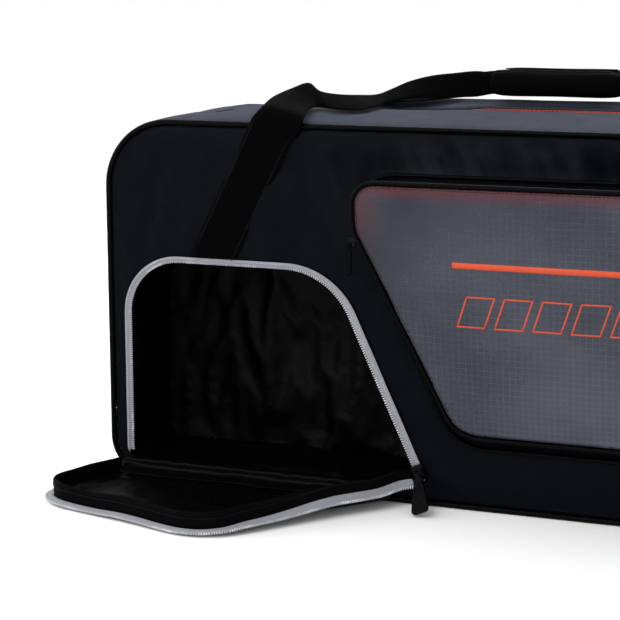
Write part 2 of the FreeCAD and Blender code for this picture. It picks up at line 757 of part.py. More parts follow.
def shoulder_strap(stem, height):
    """Padded strap stowed along the back, its lower webbing, ladder lock and sewn anchors."""
    width = dim("strap_width")
    back = FRONT + 0.2
    start = -250.0
    finish = start + dim("strap_length")
    body = new_body(stem + "_pad")
    sketch = new_sketch(body, stem + "_outline", "XZ_Plane", "%g" % (-back - dim("strap_thick")))
    low = height - width / 2
    sketch.addGeometry(rounded([
        (start, low, 6.0), (start, low + width, 6.0),
        (finish, height + 20, 10.0), (finish, height - 20, 10.0)]))
    pad(body, sketch, "dims.strap_thick")
    anchor = new_body(stem + "_anchor")
    patch = new_sketch(anchor, stem + "_patch", "XZ_Plane", "%g" % (-back - 3.0))
    patch.addGeometry(rounded([
        (start - 50, low - 5, 5.0), (start - 50, low + width + 5, 5.0),
        (start - 0.4, low + width - 2, 0), (start - 0.4, low + 2, 0)]))
    pad(anchor, patch, "3")
    lock = new_body(stem + "_ladder_lock")
    frame = new_sketch(lock, stem + "_frame", "XZ_Plane", "%g" % (-back - 8.0))
    frame.addGeometry(rounded([
        (finish + 1, height - 17, 3.0), (finish + 1, height + 17, 3.0),
        (finish + 33, height + 17, 3.0), (finish + 33, height - 17, 3.0)]))
    pad(lock, frame, "6")
    slots = new_sketch(lock, stem + "_slots", "XZ_Plane", "%g" % (-back - 2.0))
    for left in (5.0, 16.0, 24.5):
        slots.addGeometry(rounded([
            (finish + left, height - 13, 1.0), (finish + left, height + 13, 1.0),
            (finish + left + 5, height + 13, 1.0), (finish + left + 5, height - 13, 1.0)]))
    cut(lock, slots, "6", "slots_cut", reverse=False)
    box(stem + "_webbing", ("150", "1.6", "25"),
        ("%g" % (finish + 4), "%g" % (back + 0.2), "%g" % (height - 12.5)))


# ---------------------------------------------------------------- the whole bag

front_panel()
rear_panel()
base_gusset()
end_panel("end_panel_left", "-dims.bag_length / 2")
end_panel("end_panel_right", "dims.bag_length / 2 - dims.gusset_thick")
corner_gusset("corner_gusset_left", -1)
corner_gusset("corner_gusset_right", 1)
top_strip("top_strip_front", -1)
top_strip("top_strip_rear", 1)
main_zip_tape("main_zip_tape_front", -1)
main_zip_tape("main_zip_tape_rear", 1)
panel_piping("piping_front", -FRONT + 1.5)
panel_piping("piping_rear", FRONT - 1.5)
base_board()
racket_divider()
shoe_liner()
shoe_opening_tape()
shoe_flap()
pocket_gusset()
pocket_face()
pocket_pipings()
pocket_zip_tape()
sewn_leg("handle_leg_front_left", 1, -1, dim("opening_top") + 1.5, LEG_Z)
sewn_leg("handle_leg_front_right", -1, -1, dim("pocket_top") + dim("pocket_flare") + 5.0, LEG_Z)
sewn_leg("handle_leg_rear_left", 1, 1, REAR_LEG_BASE, LEG_Z)
sewn_leg("handle_leg_rear_right", -1, 1, REAR_LEG_BASE, LEG_Z)
handle_webbing("front_handle_webbing", -1, FRONT_GRIP_Y)
handle_webbing("rear_handle_webbing", 1, REAR_GRIP_Y)
grip("front_handle_grip", FRONT_GRIP_Y)
grip("rear_handle_grip", REAR_GRIP_Y)
shoulder_strap("strap_upper", 200.0)
shoulder_strap("strap_lower", 75.0)

slider_with_pull("main", V(324, 0, TOP + dim("dome_rise") + 0.5), X_AXIS, Z_AXIS, V(-1, 0, 0), dim("pull_long"))

outward = V(0, -1, 0)
slant = V(dim("opening_crown") - dim("opening_foot"), 0, dim("opening_top") - dim("opening_base")).normalize()
inward = V(-slant.z, 0, slant.x)
opening_corner = V(dim("opening_foot"), -FRONT - 0.6, dim("opening_base"))
up_the_zip = slant * ((SHOE_SLIDER_Z - dim("opening_base")) / slant.z)
slider_foot = opening_corner + up_the_zip + inward * dim("tape_width")
lean = math.radians(SHOE_PULL_LEAN)
shoe_hang = outward * math.sin(lean) - slant * math.cos(lean)
slider_with_pull("shoe", slider_foot, slant, outward, shoe_hang, dim("pull_long"))

side_outward = V(-0.979, -0.207, 0).normalize()
pocket_foot = V(dim("pocket_left") - 3.0, -FRONT - 30.0, dim("pocket_top") - 48.0)
slider_with_pull("pocket", pocket_foot + side_outward * 1.2, Z_AXIS, side_outward, V(0, 0, -1), dim("pull_short"))

doc.recompute()
for item in doc.Objects:
    if "Invalid" in item.State or "Error" in item.State:
        raise RuntimeError("%s is %s" % (item.Label, item.State))
os.makedirs("parts", exist_ok=True)
for node in NODES:
    shape = node.Shape
    if shape.isNull() or not shape.isValid() or shape.Volume <= 0:
        raise RuntimeError("bad shape: %s" % node.Label)
for node in NODES:
    node.Shape.exportStep("parts/%s.step" % node.Label)
print(len(NODES), "nodes written")
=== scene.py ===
"""Looks of the racket tournament bag: its sewn pieces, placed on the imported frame.

Row frame: X along the bag, -Y its front, +Z up. Shapes are worked out in millimetres and
stored in metres.
"""
import math

import bmesh
import bpy
import numpy as np
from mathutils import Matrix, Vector, noise
from mathutils.geometry import delaunay_2d_cdt


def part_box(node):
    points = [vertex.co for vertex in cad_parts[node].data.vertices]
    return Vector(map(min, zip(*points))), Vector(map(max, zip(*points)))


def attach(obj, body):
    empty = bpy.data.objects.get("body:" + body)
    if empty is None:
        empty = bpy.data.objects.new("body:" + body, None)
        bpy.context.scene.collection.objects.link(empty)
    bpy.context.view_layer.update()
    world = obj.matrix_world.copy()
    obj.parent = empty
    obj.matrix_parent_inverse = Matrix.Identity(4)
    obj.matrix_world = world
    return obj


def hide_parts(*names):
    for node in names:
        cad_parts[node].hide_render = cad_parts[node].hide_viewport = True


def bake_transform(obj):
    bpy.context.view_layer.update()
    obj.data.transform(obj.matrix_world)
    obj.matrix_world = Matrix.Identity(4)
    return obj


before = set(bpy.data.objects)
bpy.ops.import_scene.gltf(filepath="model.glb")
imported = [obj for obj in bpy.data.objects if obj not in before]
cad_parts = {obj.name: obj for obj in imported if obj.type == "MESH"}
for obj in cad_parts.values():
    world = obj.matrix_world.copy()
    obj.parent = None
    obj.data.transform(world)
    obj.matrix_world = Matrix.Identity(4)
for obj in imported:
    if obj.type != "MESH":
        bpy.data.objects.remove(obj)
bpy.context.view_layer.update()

MM = 0.001
TAU = 2 * math.pi
UP = (0.0, 0.0, 1.0)
FORWARD = (0.0, -1.0, 0.0)


def corner(node, which):
    """Lowest (0) or highest (1) corner of a CAD node, in millimetres."""
    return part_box(node)[which] / MM


# ---------------------------------------------------------------- sizes taken from the frame

HALF = corner("end_panel_right", 1).x
FRONT_Y = corner("front_panel", 0).y
REAR_Y = corner("rear_panel", 1).y
INNER_Y = corner("front_panel", 1).y
TOP = corner("front_panel", 1).z + 5.0
GREY_LOW = corner("end_panel_left", 1).z
BASE_TOP = corner("base_gusset", 1).z
STRIP_HALF = corner("top_strip_front", 1).x
STRIP_EDGE = 1.0 - corner("top_strip_front", 0).y
DOME = corner("top_strip_front", 1).z - TOP
OPENING_LEFT = corner("shoe_liner", 0).x + 4.0
OPENING_LOW = corner("shoe_liner", 0).z + 4.0
OPENING_HIGH = corner("shoe_liner", 1).z - 4.0
LINER_BACK = corner("shoe_liner", 1).y
OPENING_CROWN = -159.5
OPENING_FOOT = -72.3
POCKET_LEFT = corner("pocket_face", 0).x
POCKET_RIGHT = corner("pocket_face", 1).x
POCKET_HIGH = corner("pocket_face", 1).z
POCKET_OUT = corner("pocket_face", 0).y
POCKET_LOW_OUT = -115.0
POCKET_LOW = 69.0
GUSSET_HALF = 96.6
ZIP_EDGE = 4.4
ZIP_HEIGHT = 329.6
FLAP_INSET = 16.5
LEG_TOP = 312.0
LEG_HALF = 20.0
GRIP_HEIGHT = 351.6
FLAP_PIVOT = Vector((-88.0, -98.0, 2.3))
FLAP_TURN = math.radians(18.0)
FLAP_FLOOR = 100.3
FLAP_CORNER_HIGH = 30.0
FLAP_TIP = Vector((OPENING_LEFT + 24.0, OPENING_HIGH - 24.0))
FRONT_GRIP_LINE = corner("front_handle_grip", 0).y + 17.0

# ---------------------------------------------------------------- camera, light and world

AIM = Vector((-0.183, -0.100, 0.163))
AZIMUTH = math.radians(20.0)
ELEVATION = math.radians(11.0)
DISTANCE = 1.453

camera = bpy.data.objects.new("camera", bpy.data.cameras.new("camera"))
camera.data.sensor_width = 36.0
camera.data.lens = 98.7
camera.data.clip_end = 100.0
level = math.cos(ELEVATION)
away = Vector((math.sin(AZIMUTH) * level, -math.cos(AZIMUTH) * level, math.sin(ELEVATION)))
camera.location = AIM + away * DISTANCE
camera.rotation_euler = (-away).to_track_quat("-Z", "Y").to_euler()
bpy.context.scene.collection.objects.link(camera)
bpy.context.scene.camera = camera


def soft_box(name, place, aim, size, power):
    """A rectangular studio light."""
    data = bpy.data.lights.new(name, "AREA")
    data.shape = "RECTANGLE"
    data.size, data.size_y = size
    data.energy = power
    light = bpy.data.objects.new(name, data)
    light.location = place
    light.rotation_euler = (Vector(aim) - Vector(place)).to_track_quat("-Z", "Y").to_euler()
    bpy.context.scene.collection.objects.link(light)


soft_box("key_light", (-0.6, -1.6, 1.5), (-0.1, -0.1, 0.15), (1.4, 0.9), 20.0)
soft_box("top_light", (0.2, 0.9, 1.5), (0.0, 0.0, 0.3), (1.8, 0.7), 20.0)
soft_box("left_light", (-1.9, -0.2, 0.9), (-0.3, 0.0, 0.15), (0.9, 1.2), 12.0)

world = bpy.data.worlds.new("studio")
world.use_nodes = True
world.node_tree.nodes["Background"].inputs["Color"].default_value = (1.0, 1.0, 1.0, 1.0)
world.node_tree.nodes["Background"].inputs["Strength"].default_value = 1.03
bpy.context.scene.world = world
bpy.context.scene.view_settings.view_transform = "Standard"


# ---------------------------------------------------------------- procedural finishes

class Value:
    """A number worked out by nodes; sums, products and powers of it are nodes too."""

    def __init__(self, finish, socket):
        self.finish = finish
        self.socket = socket

    def __add__(self, other):
        return self.finish.maths("ADD", self, other)

    def __mul__(self, other):
        return self.finish.maths("MULTIPLY", self, other)

    def __pow__(self, other):
        return self.finish.maths("POWER", self, other)


class Finish:
    """A procedural material, put together node by node."""

    def __init__(self, name, colour):
        self.material = bpy.data.materials.new(name)
        self.material.use_nodes = True
        self.material.diffuse_color = (*colour, 1.0)
        self.tree = self.material.node_tree
        self.tree.nodes.clear()
        self.output = self.add("OutputMaterial")
        self.place = self.add("TexCoord").outputs["Object"]
        self.x, self.y, self.z = self.parts(self.place)

    def add(self, kind, sockets=None, **settings):
        made = self.tree.nodes.new("ShaderNode" + kind)
        for key, value in settings.items():
            setattr(made, key, value)
        for key, value in (sockets or {}).items():
            value = getattr(value, "socket", value)
            if isinstance(value, bpy.types.NodeSocket):
                self.tree.links.new(value, made.inputs[key])
            else:
                made.inputs[key].default_value = value
        return made

    def value(self, kind, output, sockets=None, **settings):
        return Value(self, self.add(kind, sockets, **settings).outputs[output])

    def parts(self, vector):
        split = self.add("SeparateXYZ", {0: vector})
        return [Value(self, socket) for socket in split.outputs]

    def maths(self, operation, first, second=0.0):
        return self.value("Math", 0, {0: first, 1: second}, operation=operation)

    def wave(self, value, pitch):
        """A sine of a length in metres, repeating every pitch metres, from -1 to 1."""
        return self.maths("SINE", value * (TAU / pitch))

    def grain(self, scale, detail=3.0, roughness=0.55, place=None):
        return self.value("TexNoise", "Fac", {"Vector": place or self.place, "Scale": scale, "Detail": detail,
                                              "Roughness": roughness})

    def ramp(self, value, low, high, start=0.0, end=1.0):
        """value from low to high taken to start..end, held at both ends."""
        return self.value("MapRange", "Result", {"Value": value, "From Min": low, "From Max": high,
                                                 "To Min": start, "To Max": end})

    def mix(self, factor, first, second):
        return self.value("Mix", 2, {0: factor, 6: self.rgba(first), 7: self.rgba(second)}, data_type="RGBA")

    @staticmethod
    def rgba(colour):
        return colour if isinstance(colour, Value) else (*colour, 1.0)

    def bump(self, height, depth, strength=1.0, onto=None):
        sockets = {"Height": height, "Distance": depth, "Strength": strength}
        if onto is not None:
            sockets["Normal"] = onto
        return self.value("Bump", "Normal", sockets)

    def edges(self, low=0.52, high=0.62):
        """How far a point lies on a raised edge, where cloth wears."""
        return self.ramp(self.value("NewGeometry", "Pointiness"), low, high)

    def run(self):
        """Distance along and across a tape or strap, in metres."""
        return self.parts(self.add("Attribute", attribute_name="run").outputs["Vector"])[:2]

    def surface(self, colour, roughness, normal, gloss, sheen=0.0, more=None):
        """The finished material; more holds any other sockets."""
        sockets = {"Base Color": self.rgba(colour), "Roughness": roughness, "Normal": normal,
                   "Specular IOR Level": gloss, "Sheen Weight": sheen, **(more or {})}
        shader = self.add("BsdfPrincipled", sockets)
        self.tree.links.new(shader.outputs[0], self.output.inputs["Surface"])
        return self.material


def toned(colour, factor, plus=0.0):
    """The colour made lighter or darker."""
    return tuple(c * factor + plus for c in colour)


def woven(name, colour, pitch=0.0011, lift=0.35, rough=0.75, gloss=0.12, sheen=0.05, crumple=0.5,
          painted_light=None):
    """Plain-weave cloth: crossed threads, uneven dye, soft crumples and pale worn edges, with optional
    painted highlights.
    """
    f = Finish(name, colour)
    warp = f.wave(f.x + f.y * 0.8, pitch)
    weft = f.wave(f.z + f.y * 0.6, pitch)
    threads = f.ramp(warp * weft, -1.0, 1.0)
    pale = toned(colour, 1.0 + 1.6 * lift)
    shade = f.mix(threads * 0.6 + f.grain(700.0, 2.0) * 0.4, toned(colour, 1.0 - 0.5 * lift), pale)
    dye = f.ramp(f.grain(9.0, 4.0), 0.35, 0.7)
    clouded = f.mix(dye, shade, f.mix(0.5, shade, pale))
    # the optional hook paints highlights into the colour (painted fold highlights on the front panel)
    if painted_light:
        clouded = painted_light(f, clouded)
    worn = f.mix(f.edges() * 0.35, clouded, toned(colour, 2.0, 0.002))
    soft = f.bump(f.grain(38.0, 5.0), 0.0022 * crumple, 0.7)
    normal = f.bump(threads, 0.00016, 0.5, soft)
    uneven = f.ramp(f.grain(60.0, 3.0), 0.3, 0.7, rough - 0.08, rough + 0.08)
    return f.surface(worn, uneven, normal, gloss, sheen,
                     {"Sheen Roughness": 0.4, "Sheen Tint": (0.7, 0.75, 0.9, 1.0)})


def painted_fold_highlights(f, shade):
    """Painted highlights of slanting folds on the front panel, between the pocket and the top."""
    leaning = f.add("CombineXYZ", {0: f.x * 30.0 + f.z * 12.0, 1: 0.0, 2: f.z * 9.0}).outputs[0]
    crest = f.ramp(f.grain(1.0, 3.0, 0.5, leaning), 0.42, 0.72) ** 1.6
    band = f.ramp(f.z, 0.200, 0.262) * f.ramp(f.z, 0.318, 0.296)
    place = band * f.ramp(f.x, -0.190, -0.120)
    # painted highlight colour laid on the fold crests
    return f.mix(crest * place, shade, (0.0125, 0.0135, 0.0175))


def strapping(name, colour, rib=0.0021, gloss=0.1, sheen=0.06):
    """Heavy webbing: chevron ribs and dusty wear on the edges."""
    f = Finish(name, colour)
    along, across = f.run()
    ribs = f.ramp(f.wave(along + f.maths("PINGPONG", across, 0.005) * 1.4, rib), -1.0, 1.0)
    cross = f.ramp(f.wave(across, 0.0013), -1.0, 1.0)
    height = ribs * 0.7 + cross * 0.3
    dust = f.grain(45.0, 4.0)
    shade = f.mix(height * 0.55 + f.ramp(dust, 0.4, 0.75) * 0.25, colour, toned(colour, 2.2))
    worn = f.mix(f.edges() * 0.4, shade, toned(colour, 2.4, 0.003))
    normal = f.bump(height, 0.0005, 0.7, f.bump(f.grain(400.0, 2.0), 0.0003, 0.4))
    return f.surface(worn, f.ramp(dust, 0.3, 0.7, 0.68, 0.86), normal, gloss, sheen, {"Sheen Roughness": 0.5})


def zip_tape(name, colour, gloss):
    """Knitted zip tape: fine ribs along it and slight soiling."""
    f = Finish(name, colour)
    along, across = f.run()
    ribs = f.ramp(f.wave(across, 0.0011), -1.0, 1.0)
    knit = f.ramp(f.wave(along, 0.0012), -1.0, 1.0)
    height = ribs * 0.7 + knit * 0.3
    shade = f.mix(height, toned(colour, 0.62), toned(colour, 1.1))
    soil = f.ramp(f.grain(30.0, 4.0), 0.45, 0.8)
    soiled = f.mix(soil * 0.3, shade, toned(colour, 0.6))
    normal = f.bump(height, 0.0003, 0.6, f.bump(f.grain(90.0, 3.0), 0.0008, 0.4))
    return f.surface(soiled, 0.7, normal, gloss, 0.08)


def moulding(name, colour, rough, gloss, pits=260.0, pit_depth=0.0002):
    """Moulded or cast part: fine texture, scuffs on the edges and uneven gloss."""
    f = Finish(name, colour)
    fine = f.grain(pits, 4.0)
    scuff = f.ramp(f.grain(55.0, 6.0, 0.7), 0.5, 0.72)
    shade = f.mix(fine * 0.5, colour, toned(colour, 1.8))
    worn = tuple(min(1.0, c) for c in toned(colour, 2.5, 0.003))
    worn = f.mix(f.edges(0.53, 0.6) * scuff, shade, worn)
    return f.surface(worn, f.ramp(scuff, 0.0, 1.0, rough, rough + 0.2), f.bump(fine, pit_depth, 0.6), gloss)


def ripstop(name):
    """See-through coated cloth with a faint raised square grid, paler low down and to the right; painted
    orange glow along its top.
    """
    deep, light = (0.025, 0.026, 0.036), (0.082, 0.090, 0.114)
    f = Finish(name, light)
    pitch = 0.0052

    def lines(value):
        return f.ramp(f.maths("PINGPONG", value + 0.5, pitch / 2), 0.0, 0.0007, 1.0, 0.0)

    grid = f.maths("MAXIMUM", lines(f.x), lines(f.z + f.y * -0.16))
    slope = f.ramp(f.x + f.z * -1.3, -0.38, 0.12)
    grid = grid * f.ramp(f.grain(60.0, 3.0), 0.36, 0.64, 0.45, 1.0) * f.ramp(slope, 0.0, 0.8, 0.25, 1.0)
    haze = f.ramp(f.grain(9.0, 3.0), 0.34, 0.66)
    body = f.mix(slope * 0.55 + haze * 0.45, deep, light)
    threads = f.mix(grid * 0.30, body, (0.150, 0.160, 0.190))
    # painted light: an orange glow along the top edge and in the upper left corner, standing in for the lit
    # orange tape behind the cloth
    top_edge = f.ramp(f.z, (POCKET_HIGH - 13.0) * MM, (POCKET_HIGH - 3.0) * MM)
    far_left = f.ramp(f.x, (POCKET_LEFT + 6.0) * MM, (POCKET_LEFT + 26.0) * MM, 1.0, 0.0)
    corner_glow = far_left * f.ramp(f.z, (POCKET_HIGH - 62.0) * MM, (POCKET_HIGH - 30.0) * MM)
    glow = f.maths("MAXIMUM", top_edge * 0.55, corner_glow * 0.30)
    threads = f.mix(glow * f.ramp(haze, 0.0, 1.0, 0.7, 1.0), threads, (0.150, 0.026, 0.028))
    normal = f.bump(grid, 0.00025, 0.4, f.bump(f.grain(24.0, 4.0), 0.005, 0.5))
    return f.surface(threads, f.ramp(haze, 0.0, 1.0, 0.36, 0.5), normal, 0.10, 0.01,
                     {"Alpha": f.ramp(grid, 0.0, 1.0, 0.82, 0.92)})


def printed(name, colour):
    """Screen print: even colour broken by small chips."""
    f = Finish(name, colour)
    chips = f.ramp(f.grain(260.0, 4.0, 0.7), 0.30, 0.42)
    shade = f.mix(f.grain(30.0, 3.0), toned(colour, 0.85), colour)
    broken = f.mix(chips, toned(colour, 0.55), shade)
    return f.surface(broken, 0.5, f.bump(f.grain(500.0, 2.0), 0.0001, 0.5), 0.25)


NYLON = woven("black_nylon", (0.0011, 0.0014, 0.0025), gloss=0.036, sheen=0.002, rough=0.44)
# the front panel's cloth, with painted highlights of slanting folds
PANEL_NYLON = woven("panel_nylon", (0.0011, 0.0014, 0.0025), gloss=0.032, sheen=0.002, rough=0.42,
                    painted_light=painted_fold_highlights)
# matte, slightly darker copy of the black nylon for the pocket's gusset: painted shade, so its upward-facing
# side catches less light
SHADED_SIDE_NYLON = woven("shaded_side_nylon", (0.0011, 0.0013, 0.0019), gloss=0.004, sheen=0.0, rough=0.80)
GREY = woven("grey_polyester", (0.0225, 0.0262, 0.0385), pitch=0.0014, lift=0.25, gloss=0.06, sheen=0.008)
LINING = woven("lining_cloth", (0.0007, 0.0007, 0.0009), pitch=0.0007, rough=0.30, gloss=0.055, sheen=0.0,
               crumple=1.2)
PADDING = woven("padded_cloth", (0.0011, 0.0012, 0.0015), pitch=0.0017, gloss=0.012, sheen=0.001)
BINDING = woven("binding_tape", (0.0010, 0.0010, 0.0013), pitch=0.0009, gloss=0.025, sheen=0.001, crumple=0.8)
CORDING = woven("covered_cord", (0.0006, 0.0006, 0.0008), pitch=0.0009, rough=0.24, gloss=0.035, sheen=0.0)
WEBBING = strapping("webbing", (0.0007, 0.0007, 0.0009), gloss=0.010, sheen=0.001)
GREY_TAPE = zip_tape("grey_zip_tape", (0.28, 0.285, 0.315), gloss=0.12)
ORANGE_TAPE = zip_tape("orange_zip_tape", (0.72, 0.085, 0.030), gloss=0.15)
GREY_COIL = moulding("grey_coil", (0.31, 0.315, 0.345), rough=0.35, gloss=0.3, pits=900.0)
ORANGE_COIL = moulding("orange_coil", (0.70, 0.075, 0.025), rough=0.35, gloss=0.4, pits=900.0)
THREAD = moulding("black_thread", (0.0035, 0.0035, 0.0042), rough=0.5, gloss=0.10, pits=1500.0)
ZINC = moulding("black_zinc", (0.0020, 0.0020, 0.0024), rough=0.16, gloss=0.07)
RUBBER = moulding("moulded_rubber", (0.0014, 0.0014, 0.0018), rough=0.22, gloss=0.022, pits=420.0,
                  pit_depth=0.0005)
BOARD = moulding("board_plastic", (0.012, 0.012, 0.013), rough=0.5, gloss=0.2)
WINDOW = ripstop("ripstop_window")
PRINT = printed("orange_print", (0.54, 0.066, 0.024))


def floor_finish():
    f = Finish("studio_floor", (0.97, 0.97, 0.97))
    shade = f.mix(f.grain(1.5, 2.0), (0.970, 0.970, 0.970), (0.985, 0.985, 0.985))
    return f.surface(shade, 0.6, f.bump(f.grain(300.0, 2.0), 0.00005, 0.2), 0.1)


# ---------------------------------------------------------------- outlines

def shifted(corners, distance):
    """Corners (x, z, radius) of a clockwise outline, moved outwards by distance."""
    moved = []
    count = len(corners)
    for index, (x, z, radius) in enumerate(corners):
        before = corners[index - 1]
        after = corners[(index + 1) % count]
        incoming = Vector((x - before[0], z - before[1])).normalized()
        outgoing = Vector((after[0] - x, after[1] - z)).normalized()
        out_one = Vector((-incoming.y, incoming.x))
        out_two = Vector((-outgoing.y, outgoing.x))
        bisector = (out_one + out_two).normalized()
        reach = distance / bisector.dot(out_one)
        moved.append((x + bisector.x * reach, z + bisector.y * reach, max(radius + distance, 0.2)))
    return moved


def traced(corners, step, like=None):
    """Points round a rounded outline, closed; like gives the outline that sets how many there are."""
    pattern = like or corners
    points = []
    count = len(corners)

    def turn(shape, index):
        here = Vector(shape[index][:2])
        to_before = (Vector(shape[index - 1][:2]) - here).normalized()
        to_after = (Vector(shape[(index + 1) % count][:2]) - here).normalized()
        half = to_before.angle(to_after) / 2
        reach = shape[index][2] / math.tan(half)
        centre = here + (to_before + to_after).normalized() * (shape[index][2] / math.sin(half))
        return here + to_before * reach, here + to_after * reach, centre, math.pi - 2 * half

    for index in range(count):
        _, leave, _, sweep = turn(pattern, index)
        following = turn(pattern, (index + 1) % count)[0]
        on_arc = max(3, int(pattern[index][2] * sweep / step) + 1)
        on_line = max(1, int((following - leave).length / step))
        start, end, centre, sweep = turn(corners, index)
        for number in range(on_arc):
            angle = -sweep * number / on_arc
            arm = start - centre
            points.append(centre + Vector((arm.x * math.cos(angle) - arm.y * math.sin(angle),
                                           arm.x * math.sin(angle) + arm.y * math.cos(angle))))
        target = turn(corners, (index + 1) % count)[0]
        for number in range(on_line):
            points.append(end.lerp(target, number / on_line))
    return np.array(points)


def upright(ring, y):
    """An outline's points (x, z) stood up at depth y."""
    return np.column_stack([ring[:, 0], np.full(len(ring), y), ring[:, 1]])


def run_of(wanted):
    """Indices of the one stretch of true entries in a closed list, in order."""
    count = len(wanted)
    start = next(i for i in range(count) if wanted[i] and not wanted[i - 1])
    return [i for i in ((start + k) % count for k in range(count)) if wanted[i]]


def panel_corners(inset):
    """Rounded rectangle of the front and the rear of the bag."""
    side = HALF - inset
    upper, lower = 60.0 - inset, 35.0 - inset
    high = TOP - inset
    return [(-side, inset, lower), (-side, high, upper), (side, high, upper), (side, inset, lower)]


def opening_corners(outset=0.0):
    """Edge of the shoe opening in the front panel."""
    return shifted([(OPENING_LEFT, OPENING_LOW, 12.0), (OPENING_LEFT, OPENING_HIGH, 52.0),
                    (OPENING_CROWN, OPENING_HIGH, 70.0), (OPENING_FOOT, OPENING_LOW, 10.0)], outset)


def flap_foot(x):
    """Height of the closed flap's foot, which runs along the panel when the flap lies open."""
    return FLAP_PIVOT.z + (6.0 - math.sin(FLAP_TURN) * (x - FLAP_PIVOT.x)) / math.cos(FLAP_TURN)


def on_zipped_edge(x, z):
    return z > max(flap_foot(x) + 4.0, FLAP_CORNER_HIGH + 2.0)


def flap_corners(outset=0.0):
    """Edge of the shoe flap, drawn closed."""
    _, upper_left, crown, base_right = opening_corners(-FLAP_INSET)
    slope = (base_right[0] - crown[0]) / (crown[1] - base_right[1])
    corner_x = crown[0] + slope * (crown[1] - FLAP_CORNER_HIGH)
    toe_x = corner_x - 6.0
    return shifted([(upper_left[0], flap_foot(upper_left[0]), 6.0), upper_left, crown,
                    (corner_x, FLAP_CORNER_HIGH, 9.0), (toe_x, flap_foot(toe_x), 5.0)], outset)


def pocket_corners(outset=0.0):
    """Edge of the pocket's face, in the face's own plane."""
    base = POCKET_HIGH - math.hypot(POCKET_HIGH - POCKET_LOW, POCKET_LOW_OUT - POCKET_OUT)
    slant_top = POCKET_HIGH - 38.0
    return shifted([(POCKET_LEFT, slant_top, 25.0), (POCKET_LEFT, POCKET_HIGH, 18.0),
                    (POCKET_RIGHT, POCKET_HIGH, 45.0), (POCKET_RIGHT, base, 45.0),
                    (POCKET_LEFT + 0.46 * (slant_top - base), base, 30.0)], outset)


LEAN = math.atan2(POCKET_LOW_OUT - POCKET_OUT, POCKET_HIGH - POCKET_LOW)


def on_face(x, z, out=0.0):
    """A point of the pocket's leaning face; out is how far in front of it."""
    down = POCKET_HIGH - z
    return (x, POCKET_OUT + down * math.sin(LEAN) - out * math.cos(LEAN),
            POCKET_HIGH - down * math.cos(LEAN) - out * math.sin(LEAN))


def lying(x, z, y=-FLAP_FLOOR):
    """Where a point of the closed flap is when the flap lies open on the floor."""
    u, v = x - FLAP_PIVOT.x, z - FLAP_PIVOT.z
    cosine, sine = math.cos(FLAP_TURN), math.sin(FLAP_TURN)
    stretch = math.exp(-((x - FLAP_TIP.x) ** 2 + (z - FLAP_TIP.y) ** 2) / 70.0 ** 2)
    return (FLAP_PIVOT.x + cosine * u - sine * v - 13.0 * stretch,
            FLAP_PIVOT.y - sine * u - cosine * v - 4.0 * stretch, y + FLAP_FLOOR)


# ---------------------------------------------------------------- mesh tools

def smooth_step(value):
    t = min(1.0, max(0.0, value))
    return t * t * (3 - 2 * t)


def inside(points, outline):
    """Which points lie inside a closed outline."""
    x, z = points[:, 0][:, None], points[:, 1][:, None]
    ax, az = outline[:, 0], outline[:, 1]
    bx, bz = np.roll(ax, -1), np.roll(az, -1)
    crosses = (az > z) != (bz > z)
    with np.errstate(divide="ignore", invalid="ignore"):
        at = (bx - ax) * (z - az) / (bz - az) + ax
    return (np.sum(crosses & (x < at), axis=1) % 2) == 1


def gap(points, outline, closed=True):
    """Distance from each point to the nearest part of an outline."""
    a = outline if closed else outline[:-1]
    edge = (np.roll(outline, -1, axis=0) if closed else outline[1:]) - a
    to = points[:, None, :] - a[None]
    share = np.clip((to * edge).sum(2) / np.maximum((edge ** 2).sum(1), 1e-12), 0, 1)
    return np.sqrt((((to - share[..., None] * edge) ** 2).sum(2)).min(1))


def filled(outer, step, holes=()):
    """Triangulated flat piece: (points, faces); the outline's points come first."""
    rings = [outer, *holes]
    low, high = outer.min(0), outer.max(0)
    rows = []
    for number, z in enumerate(np.arange(low[1] + step / 2, high[1], step * 0.87)):
        xs = np.arange(low[0] + (step / 2 if number % 2 else step * 0.98), high[0], step)
        rows.append(np.column_stack([xs, np.full(len(xs), z)]))
    spots = np.concatenate(rows)
    keep = inside(spots, outer) & (gap(spots, outer) > step * 0.55)
    for hole in holes:
        keep &= ~inside(spots, hole) & (gap(spots, hole) > step * 0.55)
    points = np.concatenate([*rings, spots[keep]])
    edges = []
    first = 0
    for ring in rings:
        edges += [(first + i, first + (i + 1) % len(ring)) for i in range(len(ring))]
        first += len(ring)
    made = delaunay_2d_cdt([Vector(p) for p in points], edges, [], 0, 1e-6)
    points = np.array([tuple(p) for p in made[0]])
    faces = [tuple(f) for f in made[2]]
    middles = np.array([points[list(f)].mean(0) for f in faces])
    good = inside(middles, outer)
    for hole in holes:
        good &= ~inside(middles, hole)
    return points, [f for f, ok in zip(faces, good) if ok]


